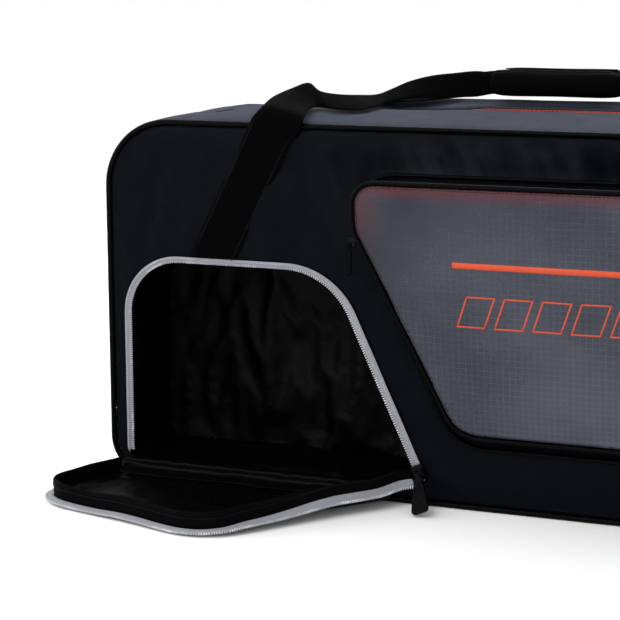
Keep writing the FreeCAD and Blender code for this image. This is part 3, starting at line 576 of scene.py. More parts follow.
class Piece:
    """Vertices in millimetres, faces and the run (along, across) of one piece."""

    def __init__(self):
        self.points = []
        self.faces = []
        self.runs = []

    def add(self, points, faces, runs=None):
        first = len(self.points)
        self.points.extend(tuple(p) for p in points)
        self.faces.extend(tuple(first + i for i in face) for face in faces)
        self.runs.extend(runs if runs is not None else [(0.0, 0.0, 0.0)] * len(points))

    def sweep(self, rows, runs=None, closed=False, tube=False, caps=False):
        """Faces between rows of points; tube closes each row, closed joins the last row to the first."""
        wide = len(rows[0])
        faces = []
        for i in range(len(rows) if closed else len(rows) - 1):
            below, above = i * wide, ((i + 1) % len(rows)) * wide
            for j in range(wide if tube else wide - 1):
                k = (j + 1) % wide
                faces.append((below + j, below + k, above + k, above + j))
        if caps:
            faces.append(tuple(reversed(range(wide))))
            faces.append(tuple((len(rows) - 1) * wide + j for j in range(wide)))
        self.add([p for row in rows for p in row], faces, runs)

    def make(self, name, material, body=None, stands_for=(), slot=None):
        mesh = bpy.data.meshes.new(name)
        mesh.from_pydata([(x * MM, y * MM, z * MM) for x, y, z in self.points], [], self.faces)
        along = mesh.attributes.new("run", "FLOAT_VECTOR", "POINT")
        along.data.foreach_set("vector", (np.array(self.runs, np.float32) * MM).ravel())
        mesh.materials.append(material)
        mesh.shade_smooth()
        mesh.validate()
        made = bpy.data.objects.new(name, mesh)
        bpy.context.scene.collection.objects.link(made)
        if body:
            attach(made, body)
        if stands_for:
            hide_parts(*stands_for)
        return made


def swept(rows, name, material, body=None, stands_for=(), slot=None, runs=None, **form):
    """A piece made of one sweep."""
    piece = Piece()
    piece.sweep(rows, runs, **form)
    return piece.make(name, material, body, stands_for, slot)


def thicken(piece, thickness, offset=-1.0, smooth=True):
    """Gives a single layer of cloth its thickness, in millimetres, and smooths it."""
    solid = piece.modifiers.new("thickness", "SOLIDIFY")
    solid.thickness = thickness * MM
    solid.offset = offset
    solid.use_even_offset = False
    if smooth:
        refine(piece)


def refine(piece):
    smooth = piece.modifiers.new("smooth", "SUBSURF")
    smooth.levels = 1
    smooth.render_levels = 1


def quilted(piece, thickness):
    """Thickens a cloth that has foam or a second layer behind it."""
    thicken(piece, thickness)


def crease(point, scale, depth, stretch=(1.0, 1.0, 1.0), seed=0.0):
    """Soft ridged wrinkle height at a point, in millimetres."""
    spot = Vector((point[0] * stretch[0], point[1] * stretch[1], point[2] * stretch[2])) / scale
    spot.x += seed
    ridge = 1.0 - abs(noise.noise(spot)) * 2.2
    swell = noise.noise(spot * 0.45 + Vector((7.1, 3.3, 1.7)))
    return depth * (max(0.0, ridge) ** 2 * 0.6 + swell * 0.8 - 0.25)


def spline(values, per=8):
    """Smooth line through rows of numbers (Catmull-Rom), per steps between rows."""
    rows = np.array(values, float)
    padded = np.concatenate([2 * rows[:1] - rows[1:2], rows, 2 * rows[-1:] - rows[-2:-1]])
    result = []
    for i in range(1, len(padded) - 2):
        p0, p1, p2, p3 = padded[i - 1:i + 3]
        for t in np.arange(per) / per:
            result.append(0.5 * (2 * p1 + (p2 - p0) * t + (2 * p0 - 5 * p1 + 4 * p2 - p3) * t * t
                                 + (3 * p1 - p0 - 3 * p2 + p3) * t ** 3))
    result.append(rows[-1])
    return np.array(result)


def directions(path, closed=False):
    """Unit tangents of a path."""
    if closed:
        tangent = np.roll(path, -1, axis=0) - np.roll(path, 1, axis=0)
    else:
        tangent = np.gradient(path, axis=0)
    return tangent / np.maximum(np.linalg.norm(tangent, axis=1), 1e-9)[:, None]


def lengths(path):
    """Distance along a path at each of its points."""
    return np.concatenate([[0.0], np.cumsum(np.linalg.norm(np.diff(path, axis=0), axis=1))])


def respaced(path, step, closed=False):
    """The same line with its points step apart."""
    line = np.concatenate([path, path[:1]]) if closed else path
    along = lengths(line)
    count = max(2, int(round(along[-1] / step)))
    at = np.linspace(0, along[-1], count + 1)
    if closed:
        at = at[:-1]
    return np.column_stack([np.interp(at, along, line[:, k]) for k in range(line.shape[1])])


def flat_strap(centres, halves, thickness, name, material, body=None, stands_for=(), slot="webbing",
               across=9):
    """A strap or a patch: a flat band along a line."""
    halves = np.broadcast_to(halves, np.shape(centres))
    rows, runs = strap_rows(centres, halves, thickness, across)
    return swept(rows, name, material, body, stands_for, slot, runs, tube=True, caps=True)


def grid(first, second, point):
    """Rows of points: one row for each of first, one point in it for each of second."""
    return [[point(a, b) for b in second] for a in first]


def runs_of(along, across):
    """The run of each point of a tape's rows: how far along it is, how far across."""
    return [(far, side, 0.0) for far in along for side in across]


def round_angles(count):
    return [TAU * k / count for k in range(count)]


def blunted(value, power):
    """A cosine or sine squared off (a low power) or sharpened, its sign kept."""
    return math.copysign(abs(value) ** power, value)


def strap_rows(centres, halves, thickness, across=9):
    """Rows and runs of a flat strap: centres of its path, vectors to its edge."""
    tangent = directions(centres)
    along = lengths(centres)
    rows = []
    runs = []
    for centre, half, ahead, far in zip(centres, halves, tangent, along):
        width = np.linalg.norm(half)
        lift = np.cross(half / width, ahead)
        lift = lift / np.linalg.norm(lift) * thickness / 2
        row = []
        for face in (1, -1):
            for k in range(across):
                share = (k / (across - 1) * 2 - 1) * face
                edge = math.sqrt(max(0.0, 1 - abs(share) ** 8))
                row.append(centre + half * share + lift * face * (0.35 + 0.65 * edge))
                runs.append((far, share * width, 0.0))
        rows.append(row)
    return rows, runs


def beads(piece, path, normals, pitch, size, turn=0.0, closed=False):
    """Small rounded bars of size (long, wide, tall) along a path, turned from straight across it."""
    both = respaced(np.column_stack([path, np.broadcast_to(normals, np.shape(path))]), pitch, closed)
    spots, ups = both[:, :3], both[:, 3:]
    long, wide, tall = size
    for spot, ahead, up in zip(spots, directions(spots, closed), ups):
        up = up / np.linalg.norm(up)
        side = np.cross(ahead, up)
        side /= max(np.linalg.norm(side), 1e-9)
        long_way = side * math.cos(math.radians(turn)) + ahead * math.sin(math.radians(turn))
        wide_way = np.cross(up, long_way)
        rows = [[spot + long_way * long * share + wide_way * wide / 2 * swell * math.cos(angle)
                 + up * tall / 2 * swell * math.sin(angle) for angle in round_angles(6)]
                for share, swell in ((-0.5, 0.45), (-0.36, 0.95), (0.36, 0.95), (0.5, 0.45))]
        piece.sweep(rows, tube=True, caps=True)


def stitches(piece, path, normals, pitch, size, closed=False):
    beads(piece, path, normals, pitch, size, 90.0, closed)


def sewn(name, seams, normals, pitch, size, body="bag", finish=THREAD, slot="black_nylon", closed=False):
    """Rows of stitches along some seams, as one piece."""
    thread = Piece()
    for seam in seams:
        stitches(thread, seam, normals, pitch, size, closed)
    return thread.make(name, finish, body, slot=slot)


def coil(name, path, normals, long, finish, body, slot):
    """Teeth of a zip, long millimetres across it."""
    teeth = Piece()
    beads(teeth, path, normals, 2.1, (long, 1.55 if finish is GREY_COIL else 1.5, 2.2))
    return teeth.make(name, finish, body, slot=slot)


# ---------------------------------------------------------------- cloth simulation

def simulate(piece, frames, cap, pressure=0.0, growth=0.0, pinned=None, stiffness=15.0):
    """Lets the cloth settle, then keeps its shape, each point within cap millimetres of its start."""
    scene = bpy.context.scene
    start = np.array([v.co for v in piece.data.vertices], float)
    cloth = piece.modifiers.new("Cloth", "CLOTH")
    cloth.settings.quality = 5
    cloth.settings.mass = 0.2
    cloth.settings.tension_stiffness = stiffness
    cloth.settings.compression_stiffness = stiffness
    cloth.settings.bending_stiffness = 0.4
    cloth.settings.effector_weights.gravity = 0.0
    cloth.settings.use_pressure = pressure > 0
    cloth.settings.uniform_pressure_force = pressure
    cloth.settings.shrink_min = -growth
    cloth.settings.shrink_max = -growth
    cloth.collision_settings.use_collision = False
    if pinned is not None:
        group = piece.vertex_groups.new(name="pinned")
        group.add([int(i) for i in pinned], 1.0, "REPLACE")
        cloth.settings.vertex_group_mass = "pinned"
    cloth.point_cache.frame_start = 1
    cloth.point_cache.frame_end = frames
    for number in range(1, frames + 1):
        scene.frame_set(number)
    settled = piece.evaluated_get(bpy.context.evaluated_depsgraph_get())
    moved = np.array([v.co for v in settled.data.vertices], float)
    piece.modifiers.remove(cloth)
    scene.frame_set(1)
    step = moved - start
    far = np.linalg.norm(step, axis=1)
    scale = np.minimum(1.0, cap * MM / np.maximum(far, 1e-9))
    reshape(piece, (start + step * scale[:, None]) / MM)


def remesh(piece, voxel):
    """Gives a closed form even faces, voxel millimetres wide."""
    mesh = piece.modifiers.new("even", "REMESH")
    mesh.mode = "VOXEL"
    mesh.voxel_size = voxel * MM
    mesh.use_smooth_shade = True
    settled = piece.evaluated_get(bpy.context.evaluated_depsgraph_get())
    even = bpy.data.meshes.new_from_object(settled)
    even.name = piece.name
    piece.modifiers.remove(mesh)
    even.materials.clear()
    even.materials.append(piece.data.materials[0])
    even.shade_smooth()
    piece.data = even


def coordinates(piece):
    return np.array([v.co for v in piece.data.vertices], float) / MM


def reshape(piece, points):
    piece.data.vertices.foreach_set("co", (np.array(points) * MM).astype(np.float32).ravel())
    piece.data.update()


# ---------------------------------------------------------------- front and rear panels

def seam_dip(distance, width=12.0, depth=1.6):
    """How far foam-backed cloth is pulled in near a seam."""
    return depth * np.exp(-(distance / width) ** 2)


def padded_panel(name, node, side, holes=(), pressed=()):
    """Foam-backed panel, side -1 at the front: crowned between its seams, with soft wrinkles."""
    outer = traced(panel_corners(4.0), 8.0)
    flat, faces = filled(outer, 8.0, holes)
    rim = seam_dip(gap(flat, outer))
    for line in pressed:
        rim = rim + seam_dip(gap(flat, line), 7.0, 1.0)
    surface = FRONT_Y if side < 0 else REAR_Y
    points = []
    for (x, z), dip in zip(flat, rim):
        fold = crease((x, 0.0, z), 46.0, 0.9, (1.0, 1.0, 0.75), side * 5.0)
        under_top = smooth_step((z - POCKET_HIGH + 20.0) / 40.0) * smooth_step((TOP - 8.0 - z) / 22.0)
        fold += under_top * crease((x - 0.35 * z, 0.0, z), 27.0, 2.8, (1.0, 1.0, 0.3), 14.0)
        fine = crease((x, 0.0, z), 17.0, 0.35, (1.0, 1.0, 0.8), 2.0)
        points.append((x, surface + side * (fold + fine + 0.3 - dip), z))
    if side > 0:
        faces = [tuple(reversed(face)) for face in faces]
    piece = Piece()
    piece.add(points, faces)
    panel = piece.make(name, PANEL_NYLON if side < 0 else NYLON, "bag", [node], "black_nylon")
    edge = np.zeros(len(flat), bool)
    for ring in (outer, *holes, *pressed):
        edge |= gap(flat, ring) < 6.0
    simulate(panel, 12, 2.2, growth=0.012, pinned=np.nonzero(edge)[0], stiffness=30.0)
    quilted(panel, 3.0)


opening_edge = traced(opening_corners(), 6.0)
pocket_seam = traced(pocket_corners(9.0), 8.0)
padded_panel("front_panel_padding", "front_panel", -1, [opening_edge], [pocket_seam])
padded_panel("rear_panel_padding", "rear_panel", 1)


# ---------------------------------------------------------------- gusset round the bag

def gusset(name, nodes, path, normals, rise, material, slot, seed, fold=0.5):
    """A band across the bag along a line of its outline: rise(along, y) lifts it outwards."""
    near_seam = np.linspace(GUSSET_HALF - 9, GUSSET_HALF, 4)
    ys = np.concatenate([-near_seam[::-1], np.linspace(16 - GUSSET_HALF, GUSSET_HALF - 16, 23), near_seam])

    def point(index, y):
        (x, z), (nx, nz) = path[index], normals[index]
        rim = GUSSET_HALF - abs(y)
        tuck = 2.2 * math.exp(-(rim / 4.0) ** 2)
        calm = min(1.0, rim / 14.0)
        out = rise(index / (len(path) - 1), y) - tuck + calm * crease((x, y, z), 34.0, fold, seed=seed)
        return x + nx * out, y, max(z + nz * out, 0.15)

    rows = grid(range(len(path)), ys, point)
    heading = path[1] - path[0]
    if heading[0] * normals[0][1] - heading[1] * normals[0][0] > 0:
        rows = rows[::-1]
    made = swept(rows, name, material, "bag", nodes, slot)
    quilted(made, 2.4)


def outline_part(corners, step, keep):
    """Part of a rounded outline (where keep is true) as a line with its outward normals."""
    points = traced(corners, step)
    tangent = directions(points, closed=True)
    normal = np.column_stack([-tangent[:, 1], tangent[:, 0]])
    order = run_of([keep(x, z) for x, z in points])
    return points[order], normal[order]


def dome(y):
    """Height of the top above the piping, across the bag."""
    radius = (INNER_Y ** 2 + DOME ** 2) / (2 * DOME)
    return math.sqrt(radius ** 2 - y ** 2) - (radius - DOME)


def top_rise(x, y):
    """Height of the top cloth above the piping: it sags at the left end, dips at the zip and
    bulges behind it."""
    ends = smooth_step((325.0 + x) / 85.0) if x < 0 else 1.0
    along = smooth_step((x + 325.0) / 60.0) * smooth_step((200.0 - x) / 100.0)
    valley = (4.8 - 3.2 * smooth_step((x + 125.0) / 65.0)) * along * math.exp(-(y / 24.0) ** 2)
    bulge = 6.5 * smooth_step((x + 185.0) / 100.0) * smooth_step((230.0 - x) / 110.0)
    return dome(y) * ends - valley + bulge * math.exp(-((y - 48.0) / 20.0) ** 2)


full_outline = panel_corners(0.0)
path, normals = outline_part(full_outline, 8.0, lambda x, z: z <= BASE_TOP + 4)
gusset("base_cloth", ["base_gusset"], path, normals,
       lambda t, y: -0.3, NYLON, "black_nylon", 1.0)
for stem, side in (("left", -1), ("right", 1)):
    path = np.array([(side * HALF, z) for z in np.linspace(BASE_TOP - 1, GREY_LOW + 1, 18)])
    normals = np.array([(side, 0.0)] * len(path))
    gusset("end_cloth_" + stem, ["end_panel_" + stem], path, normals,
           lambda t, y: 1.6 * math.sin(math.pi * t) * (1 - (y / 97.0) ** 2), NYLON, "black_nylon",
           3.0 + side, fold=0.9)
    path, normals = outline_part(
        full_outline, 6.0, lambda x, z: z >= GREY_LOW - 1 and side * x > STRIP_HALF - 0.5)
    if side > 0:
        path, normals = path[::-1], normals[::-1]
    path = np.concatenate([path, [(side * (STRIP_HALF - 0.4), TOP)]])
    normals = np.concatenate([normals, [(0.0, 1.0)]])
    turned = [max(0.0, n[1]) ** 2 for n in normals]
    gusset("corner_cloth_" + stem, ["corner_gusset_" + stem], path, normals,
           lambda t, y: top_rise(side * STRIP_HALF, y) * turned[round(t * (len(turned) - 1))],
           GREY, "grey_fabric", 6.0 + side)


def curl(x):
    """How far the rear half's edge stands up from the zip, 0 to 1: the tape shows below it."""
    middle = smooth_step((x + 100.0) / 45.0) * smooth_step((120.0 - x) / 60.0)
    return max(middle, smooth_step(1.0 - abs(x + 203.0) / 24.0))


def top_strip(stem, side):
    """One half of the top: grey cloth from its folding edge to the folded edge beside the zip."""
    ys = np.concatenate([np.linspace(STRIP_EDGE, 84, 5), np.linspace(78, 12, 12), [8.5, 6.2, ZIP_EDGE]])

    def point(x, y):
        from_seam, from_zip = STRIP_EDGE - y, y - ZIP_EDGE
        calm = min(1.0, min(from_seam, from_zip) / 10.0)
        low = 1.8 * math.exp(-(from_seam / 4.0) ** 2) + 1.2 * math.exp(-(from_zip / 2.2) ** 2)
        swell = calm * crease((x, side * y, 0), 38.0, 0.55, (0.7, 1.0, 1.0), 11.0 * side)
        if side > 0:
            stand = curl(x) * math.exp(-(from_zip / 12.0) ** 2)
            return x, y + 3.0 * stand, TOP + top_rise(x, y) - low + swell + 1.9 * stand
        tucked = 1.3 * math.exp(-(from_zip / 4.0) ** 2)
        return x, -y, TOP + top_rise(x, -y) - low - tucked + swell

    rows = grid(np.linspace(-STRIP_HALF, STRIP_HALF, 90), ys, point)
    made = swept(rows if side > 0 else [row[::-1] for row in rows], "top_cloth_" + stem, GREY,
                 "main_opening_" + stem, ["top_strip_" + stem], "grey_fabric")
    quilted(made, 2.2)


def main_zip(stem, side):
    """Half of the main zip: orange tape under the strip, coil beside the middle and stitching."""
    def drop(x):
        return top_rise(x, 0.0) - DOME

    path = np.array([(x, 0.0, drop(x)) for x in np.linspace(-STRIP_HALF + 0.5, STRIP_HALF - 0.5, 80)])
    across = (0.9, 4.0, 8.0, 13.5)
    body = "main_opening_" + stem

    def point(x, y):
        stand = 0.30 * curl(x) if side > 0 else 0.0
        return x, side * y, ZIP_HEIGHT + drop(x) - 0.35 * (y > 4) + stand * y

    rows = grid(path[:, 0], across, point)
    runs = runs_of(path[:, 0] + 400, across)
    tape = swept(rows if side < 0 else [row[::-1] for row in rows], "main_zip_tape_cloth_" + stem,
                 ORANGE_TAPE, body, ["main_zip_tape_" + stem], "orange_tape", runs)
    thicken(tape, 0.7, smooth=False)
    coil("main_zip_coil_" + stem, path + (0.0, side * 1.75, ZIP_HEIGHT - 0.3), UP, 2.6, ORANGE_COIL, body,
         "orange_tape")
    seams = np.array(grid((7.2, 10.2), path[:, 0],
                          lambda y, x: (x, side * y, TOP + top_rise(x, side * y) + 0.15)))
    sewn("top_stitching_" + stem, seams, UP, 3.6, (2.7, 0.55, 0.5), body)


for stem, side in (("front", -1), ("rear", 1)):
    top_strip(stem, side)
    main_zip(stem, side)


# ---------------------------------------------------------------- piping

def closed_cord(name, node, path, radius):
    """Covered cord sewn all round a seam, slightly uneven."""
    path = respaced(path, 4.0, closed=True)
    tangent = directions(path, closed=True)
    side = np.cross(tangent, FORWARD) * -1.0
    weak = np.linalg.norm(side, axis=1) < 0.2
    side[weak] = np.cross(tangent[weak], UP)
    side /= np.linalg.norm(side, axis=1)[:, None]
    other = np.cross(tangent, side)

    def point(index, angle):
        swell = radius * (1.0 + 0.05 * noise.noise(Vector(path[index]) / 6.0))
        return path[index] + swell * (math.cos(angle) * side[index] + math.sin(angle) * other[index])

    rows = grid(range(len(path)), round_angles(10), point)
    swept(rows, name, CORDING, "bag", [node], "piping", closed=True, tube=True)


for stem, side, y in (("front", -1, FRONT_Y + 1.3), ("rear", 1, REAR_Y - 1.3)):
    ring = traced(panel_corners(2.5), 5.0)
    closed_cord("piping_cord_" + stem, "piping_" + stem, upright(ring, y), 2.35)
    seam = upright(traced(panel_corners(8.2), 5.0), y + side * 0.5)
    sewn("panel_stitching_" + stem, [seam], (0.0, side, 0.0), 4.2, (3.0, 0.6, 0.5), closed=True)


# ---------------------------------------------------------------- shoe compartment

def shoe_lining():
    """Loose lining of the shoe compartment: walls back from the opening and a crumpled back."""
    like = opening_corners()
    depths = [(-97.2, -1.2), (-96.0, 0.8), (-92.0, 2.4)]
    depths += [(y, 2.8) for y in np.linspace(-84.0, LINER_BACK - 4.0, 12)]
    rows = []
    for y, outset in depths:
        ring = traced(opening_corners(outset), 7.0, like)
        middle = ring.mean(0)
        row = []
        for x, z in ring:
            inward = Vector((middle[0] - x, middle[1] - z)).normalized()
            calm = min(1.0, (y + 96.0) / 30.0) if y > -96 else 0.0
            sag = calm * max(0.0, crease((x, y, z), 30.0, 5.0, (1.0, 0.8, 1.0), 4.0))
            if z > 150:
                roof = (x - OPENING_LEFT) / (OPENING_CROWN - OPENING_LEFT + 60)
                sag += 6.0 * calm * math.sin(math.pi * roof)
            row.append((x + inward.x * sag, y, z + inward.y * sag))
        rows.append(row)
    piece = Piece()
    piece.sweep(rows, tube=True)
    last = np.array(rows[-1])
    flat, faces = filled(last[:, [0, 2]], 7.0)
    depth = gap(flat, last[:, [0, 2]])
    back = []
    for (x, z), far in zip(flat, depth):
        calm = min(1.0, far / 22.0)
        fold = 7.0 * calm * crease((x, 0.0, z), 30.0, 1.0, (1.5, 1.0, 0.45), 9.0)
        back.append((x, LINER_BACK - 4.0 + 3.5 * calm - fold, z))
    piece.add(back, faces)
    made = piece.make("shoe_compartment_lining", LINING, "bag", ["shoe_liner"], "lining")
    merge_close(made.data, 0.05)
    points = coordinates(made)
    simulate(made, 14, 8.0, growth=0.07, pinned=np.nonzero(points[:, 1] < -95.0)[0], stiffness=12.0)
    points = coordinates(made)
    points[:, 2] = np.maximum(points[:, 2], 8.0)
    points[:, 0] = np.maximum(points[:, 0], -367.0)
    points[:, 1] = np.clip(points[:, 1], -97.5, LINER_BACK + 6.0)
    reshape(made, points)
    thicken(made, 0.5, 0.0)


def merge_close(mesh, distance):
    """Joins points that lie together, within distance millimetres."""
    work = bmesh.new()
    work.from_mesh(mesh)
    bmesh.ops.remove_doubles(work, verts=work.verts, dist=distance * MM)
    work.to_mesh(mesh)
    work.free()


def opening_tape():
    """Grey zip tape, coil and stitching round the opening, on the panel's side."""
    like = opening_corners()
    narrow, wide = (-0.6, 0.2, 1.5, 2.9, 4.3), (0.6, 1.6, 3.6, 5.8, 8.0)
    rings = []
    for slim, broad in zip(narrow, wide):
        thin, thick = (traced(opening_corners(-inset), 4.0, like) for inset in (slim, broad))
        share = np.array([smooth_step((x - OPENING_CROWN + 60.0) / 90.0) for x in thin[:, 0]])[:, None]
        rings.append(thin * (1 - share) + thick * share)
    order = run_of([z > 19.5 for _, z in rings[0]])
    depths = (-100.3, -100.7, -100.2, -99.3, -98.7)
    rows = []
    for i in order:
        wobble = 0.35 * noise.noise(Vector((*rings[2][i], 0.0)) / 28.0)
        rows.append([(ring[i][0], y + wobble, ring[i][1]) for ring, y in zip(rings, depths)])
    runs = runs_of(lengths(rings[2][order]), (0.0, 0.8, 2.1, 3.5, 4.9))
    tape = swept(rows, "shoe_opening_tape_cloth", GREY_TAPE, "bag", ["shoe_opening_tape"], "grey_tape", runs)
    thicken(tape, 0.8)
    coil("shoe_opening_coil", upright(rings[-1][order], -98.2), FORWARD, 2.4, GREY_COIL, "bag", "grey_tape")
    seam = (rings[1] * 0.3 + rings[2] * 0.7)[order]
    sewn("shoe_opening_stitching", [upright(seam, -100.65)], FORWARD, 3.4, (2.5, 0.5, 0.45),
         finish=GREY_COIL, slot="grey_tape")


SLANT = Vector((OPENING_CROWN - OPENING_FOOT, OPENING_HIGH - OPENING_LOW)).normalized()
INTO = Vector((-SLANT.y, SLANT.x))
SLANT_FOOT = Vector((OPENING_FOOT, OPENING_LOW))


def flap_lift(x, z, reach=30.0):
    """How high the open flap hangs above the floor: its slanted edge rises to the slider."""
    arm = Vector((x, z)) - SLANT_FOOT
    up, deep = arm.dot(SLANT), arm.dot(INTO) - FLAP_INSET
    rise = 15.5 * (1.0 - smooth_step((up - 45.0) / 165.0))
    ruffle = 1.2 * noise.noise(Vector((x, z, 0.0)) / 34.0)
    return max(0.0, rise * math.exp(-(max(0.0, deep) / reach) ** 2) + ruffle)


SEAM_Z = 4.6
flap_ring = traced(flap_corners(), 5.0)
zipped_edge = run_of([on_zipped_edge(x, z) for x, z in flap_ring])


def flap_surface(points, above):
    """The open flap's points on the floor, above millimetres over its outer cloth."""
    rows = []
    for (x, z), far in zip(points, gap(np.array(points), flap_ring[zipped_edge], closed=False)):
        lift = flap_lift(x, z, 30.0 if above > 1 else 11.0)
        rim = (SEAM_Z - 1.4) * math.exp(-(far / 7.0) ** 2)
        calm = min(1.0, far / 16.0)
        fold = calm * abs(crease((x, z, 0.0), 40.0, 1.3 if above < 1 else 2.4, (1.0, 1.0, 1.0), 3.0))
        rows.append(lying(x, z, 0.9 + lift + rim + above + fold - FLAP_FLOOR))
    return rows


def bend_with_flap(piece):
    """Bakes the piece's placement into its points."""
    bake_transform(piece)


def flap_cloth(name, node, material, slot, above, thickness):
    outline = flap_ring if above < 1 else traced(flap_corners(-1.6), 5.0, flap_corners())
    flat, faces = filled(outline, 6.5)
    piece = Piece()
    piece.add(flap_surface(flat, above), [tuple(reversed(face)) for face in faces])
    made = piece.make(name, material, None, [node], slot)
    thicken(made, thickness)
    bend_with_flap(made)


def flap_edge_stations():
    """Stations along the flap's zipped edge, from its left foot round to the zip slider.

    Each is (closed point, outward direction on the floor, height of the seam)."""
    outer = traced(flap_corners(8.0), 5.0, flap_corners())
    stations = []
    for i in zipped_edge:
        x, z = flap_ring[i]
        here, there = Vector(lying(x, z)), Vector(lying(*outer[i]))
        out = (there - here).normalized()
        here.z = SEAM_Z + flap_lift(x, z)
        stations.append((here, out))
    return stations


def flap_edge():
    """Bound rim, zip tape, coil and stitching along the flap's zipped edge."""
    stations = flap_edge_stations()
    seam = []
    for spot, out in stations:
        raised = smooth_step((spot.z - SEAM_Z) / 14.0)
        seam.append((*spot, *out, 6.2 - 3.2 * raised, -2.2 - 4.4 * raised))
    seam += [(-99.0, -110.5, 23.0, 0.62, -0.60, 0.0, 3.0, -6.8),
             (-89.0, -104.0, 24.2, 0.75, -0.50, 0.0, 3.5, -6.8)]
    line = spline(seam[:-2][::4] + seam[-2:], 6)
    out = line[:, 3:6] / np.linalg.norm(line[:, 3:6], axis=1)[:, None]
    base = line[:, :3]
    along = lengths(base)
    rows, coil_line, coil_up = [], [], []
    for p, o, reach, drop in zip(base, out, line[:, 6], line[:, 7]):
        edge = p + o * reach + np.array(UP) * drop
        edge[2] = max(edge[2], 1.5)
        rows.append([p, (p + edge) / 2 + np.array(UP) * 0.5, edge])
        up = np.cross(edge - p, UP)
        face = np.cross(up, edge - p)
        face = face / np.linalg.norm(face)
        coil_line.append(edge + face * 0.5)
        coil_up.append(face if face[2] > 0 else -face)
    tape = swept(rows, "shoe_flap_tape_cloth", GREY_TAPE, None, ["shoe_flap_zip_tape"], "grey_tape",
                 runs_of(along, (0.0, 4.0, 8.0)))
    thicken(tape, 0.8, 0.0)
    bend_with_flap(tape)
    bend_with_flap(coil("shoe_flap_coil", np.array(coil_line), np.array(coil_up), 2.4, GREY_COIL, None,
                        "grey_tape"))

    outer_side = [(1, -0.10), (1, 0.15), (1.25, 0.2), (1.1, 0.55), (1.5, 0.62), (1.6, 0.8), (1.3, 0.95)]
    section = outer_side + [(0.0, 1.0)] + [(-side, share) for side, share in outer_side[::-1]]
    rows = []
    for number, (p, o, far) in enumerate(zip(base, out, along)):
        from_end = len(base) - 1 - number
        tall = (14.0 - 5.0 * smooth_step((p[2] - 8.0) / 12.0)) * min(1.0, 0.35 + from_end / 10.0)
        lean = 1.6 * noise.noise(Vector((far / 26.0, 2.0, 0.0)))
        tall += 1.3 * noise.noise(Vector((far / 40.0, 8.0, 0.0)))
        rows.append([p + o * (lean * share ** 2 - 1.4 + side * 0.95) + np.array(UP) * (share * tall + 0.4)
                     for side, share in section])
    band = swept(rows, "shoe_flap_bound_rim", BINDING, None, ["shoe_flap_binding"], "lining",
                 runs_of(along, [share * 14.0 for _, share in section]), tube=True, caps=True)
    refine(band)
    bend_with_flap(band)
    sewn_part = slice(0, -8)
    seam = (base + out * 0.1 + np.array(UP) * 8.6)[sewn_part]
    bend_with_flap(sewn("shoe_flap_rim_stitching", [seam], out[sewn_part], 3.6, (2.7, 0.55, 0.5), None))


def flap_fold():
    """Slack cloth from the foot of the opening to the foot of the flap."""
    count = 60
    rows = []
    for number in range(count):
        share = number / (count - 1)
        bag_x = -361.5 + share * 270.5
        flap_x = -351.0 + share * 241.0
        landing = Vector(flap_surface(np.array([(flap_x, flap_foot(flap_x) + 12.0)]), 4.4)[0])
        ripple = 0.5 * math.sin(share * 95.0) + 0.4 * noise.noise(Vector((share * 22.0, 0.0, 0.0)))
        start = Vector((bag_x, -92.0, OPENING_LOW + 1.2))
        lip = Vector((bag_x, -100.8, OPENING_LOW + 1.2 + ripple))
        shin = Vector((bag_x * 0.6 + landing.x * 0.4, -102.9, max(6.0, landing.z + 3.0)))
        points = spline([start, lip, shin, landing], 8)
        rows.append([tuple(p) for p in points])
    made = swept(rows, "shoe_flap_fold", LINING, slot="lining")
    thicken(made, 0.6, 0.0)
    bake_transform(made)


shoe_lining()
opening_tape()
flap_cloth("shoe_flap_padding", "shoe_flap_panel", NYLON, "black_nylon", 0.0, 0.7)
flap_cloth("shoe_flap_lining_cloth", "shoe_flap_lining", LINING, "lining", 3.0, 0.6)
flap_edge()
flap_fold()


# ---------------------------------------------------------------- front pocket

def settled(ring):
    """The pocket's seam hangs a little lower along its top than the flat pattern."""
    return np.array([(x, z - 8.5 * smooth_step((z - POCKET_HIGH + 18.0) / 26.0)) for x, z in ring])


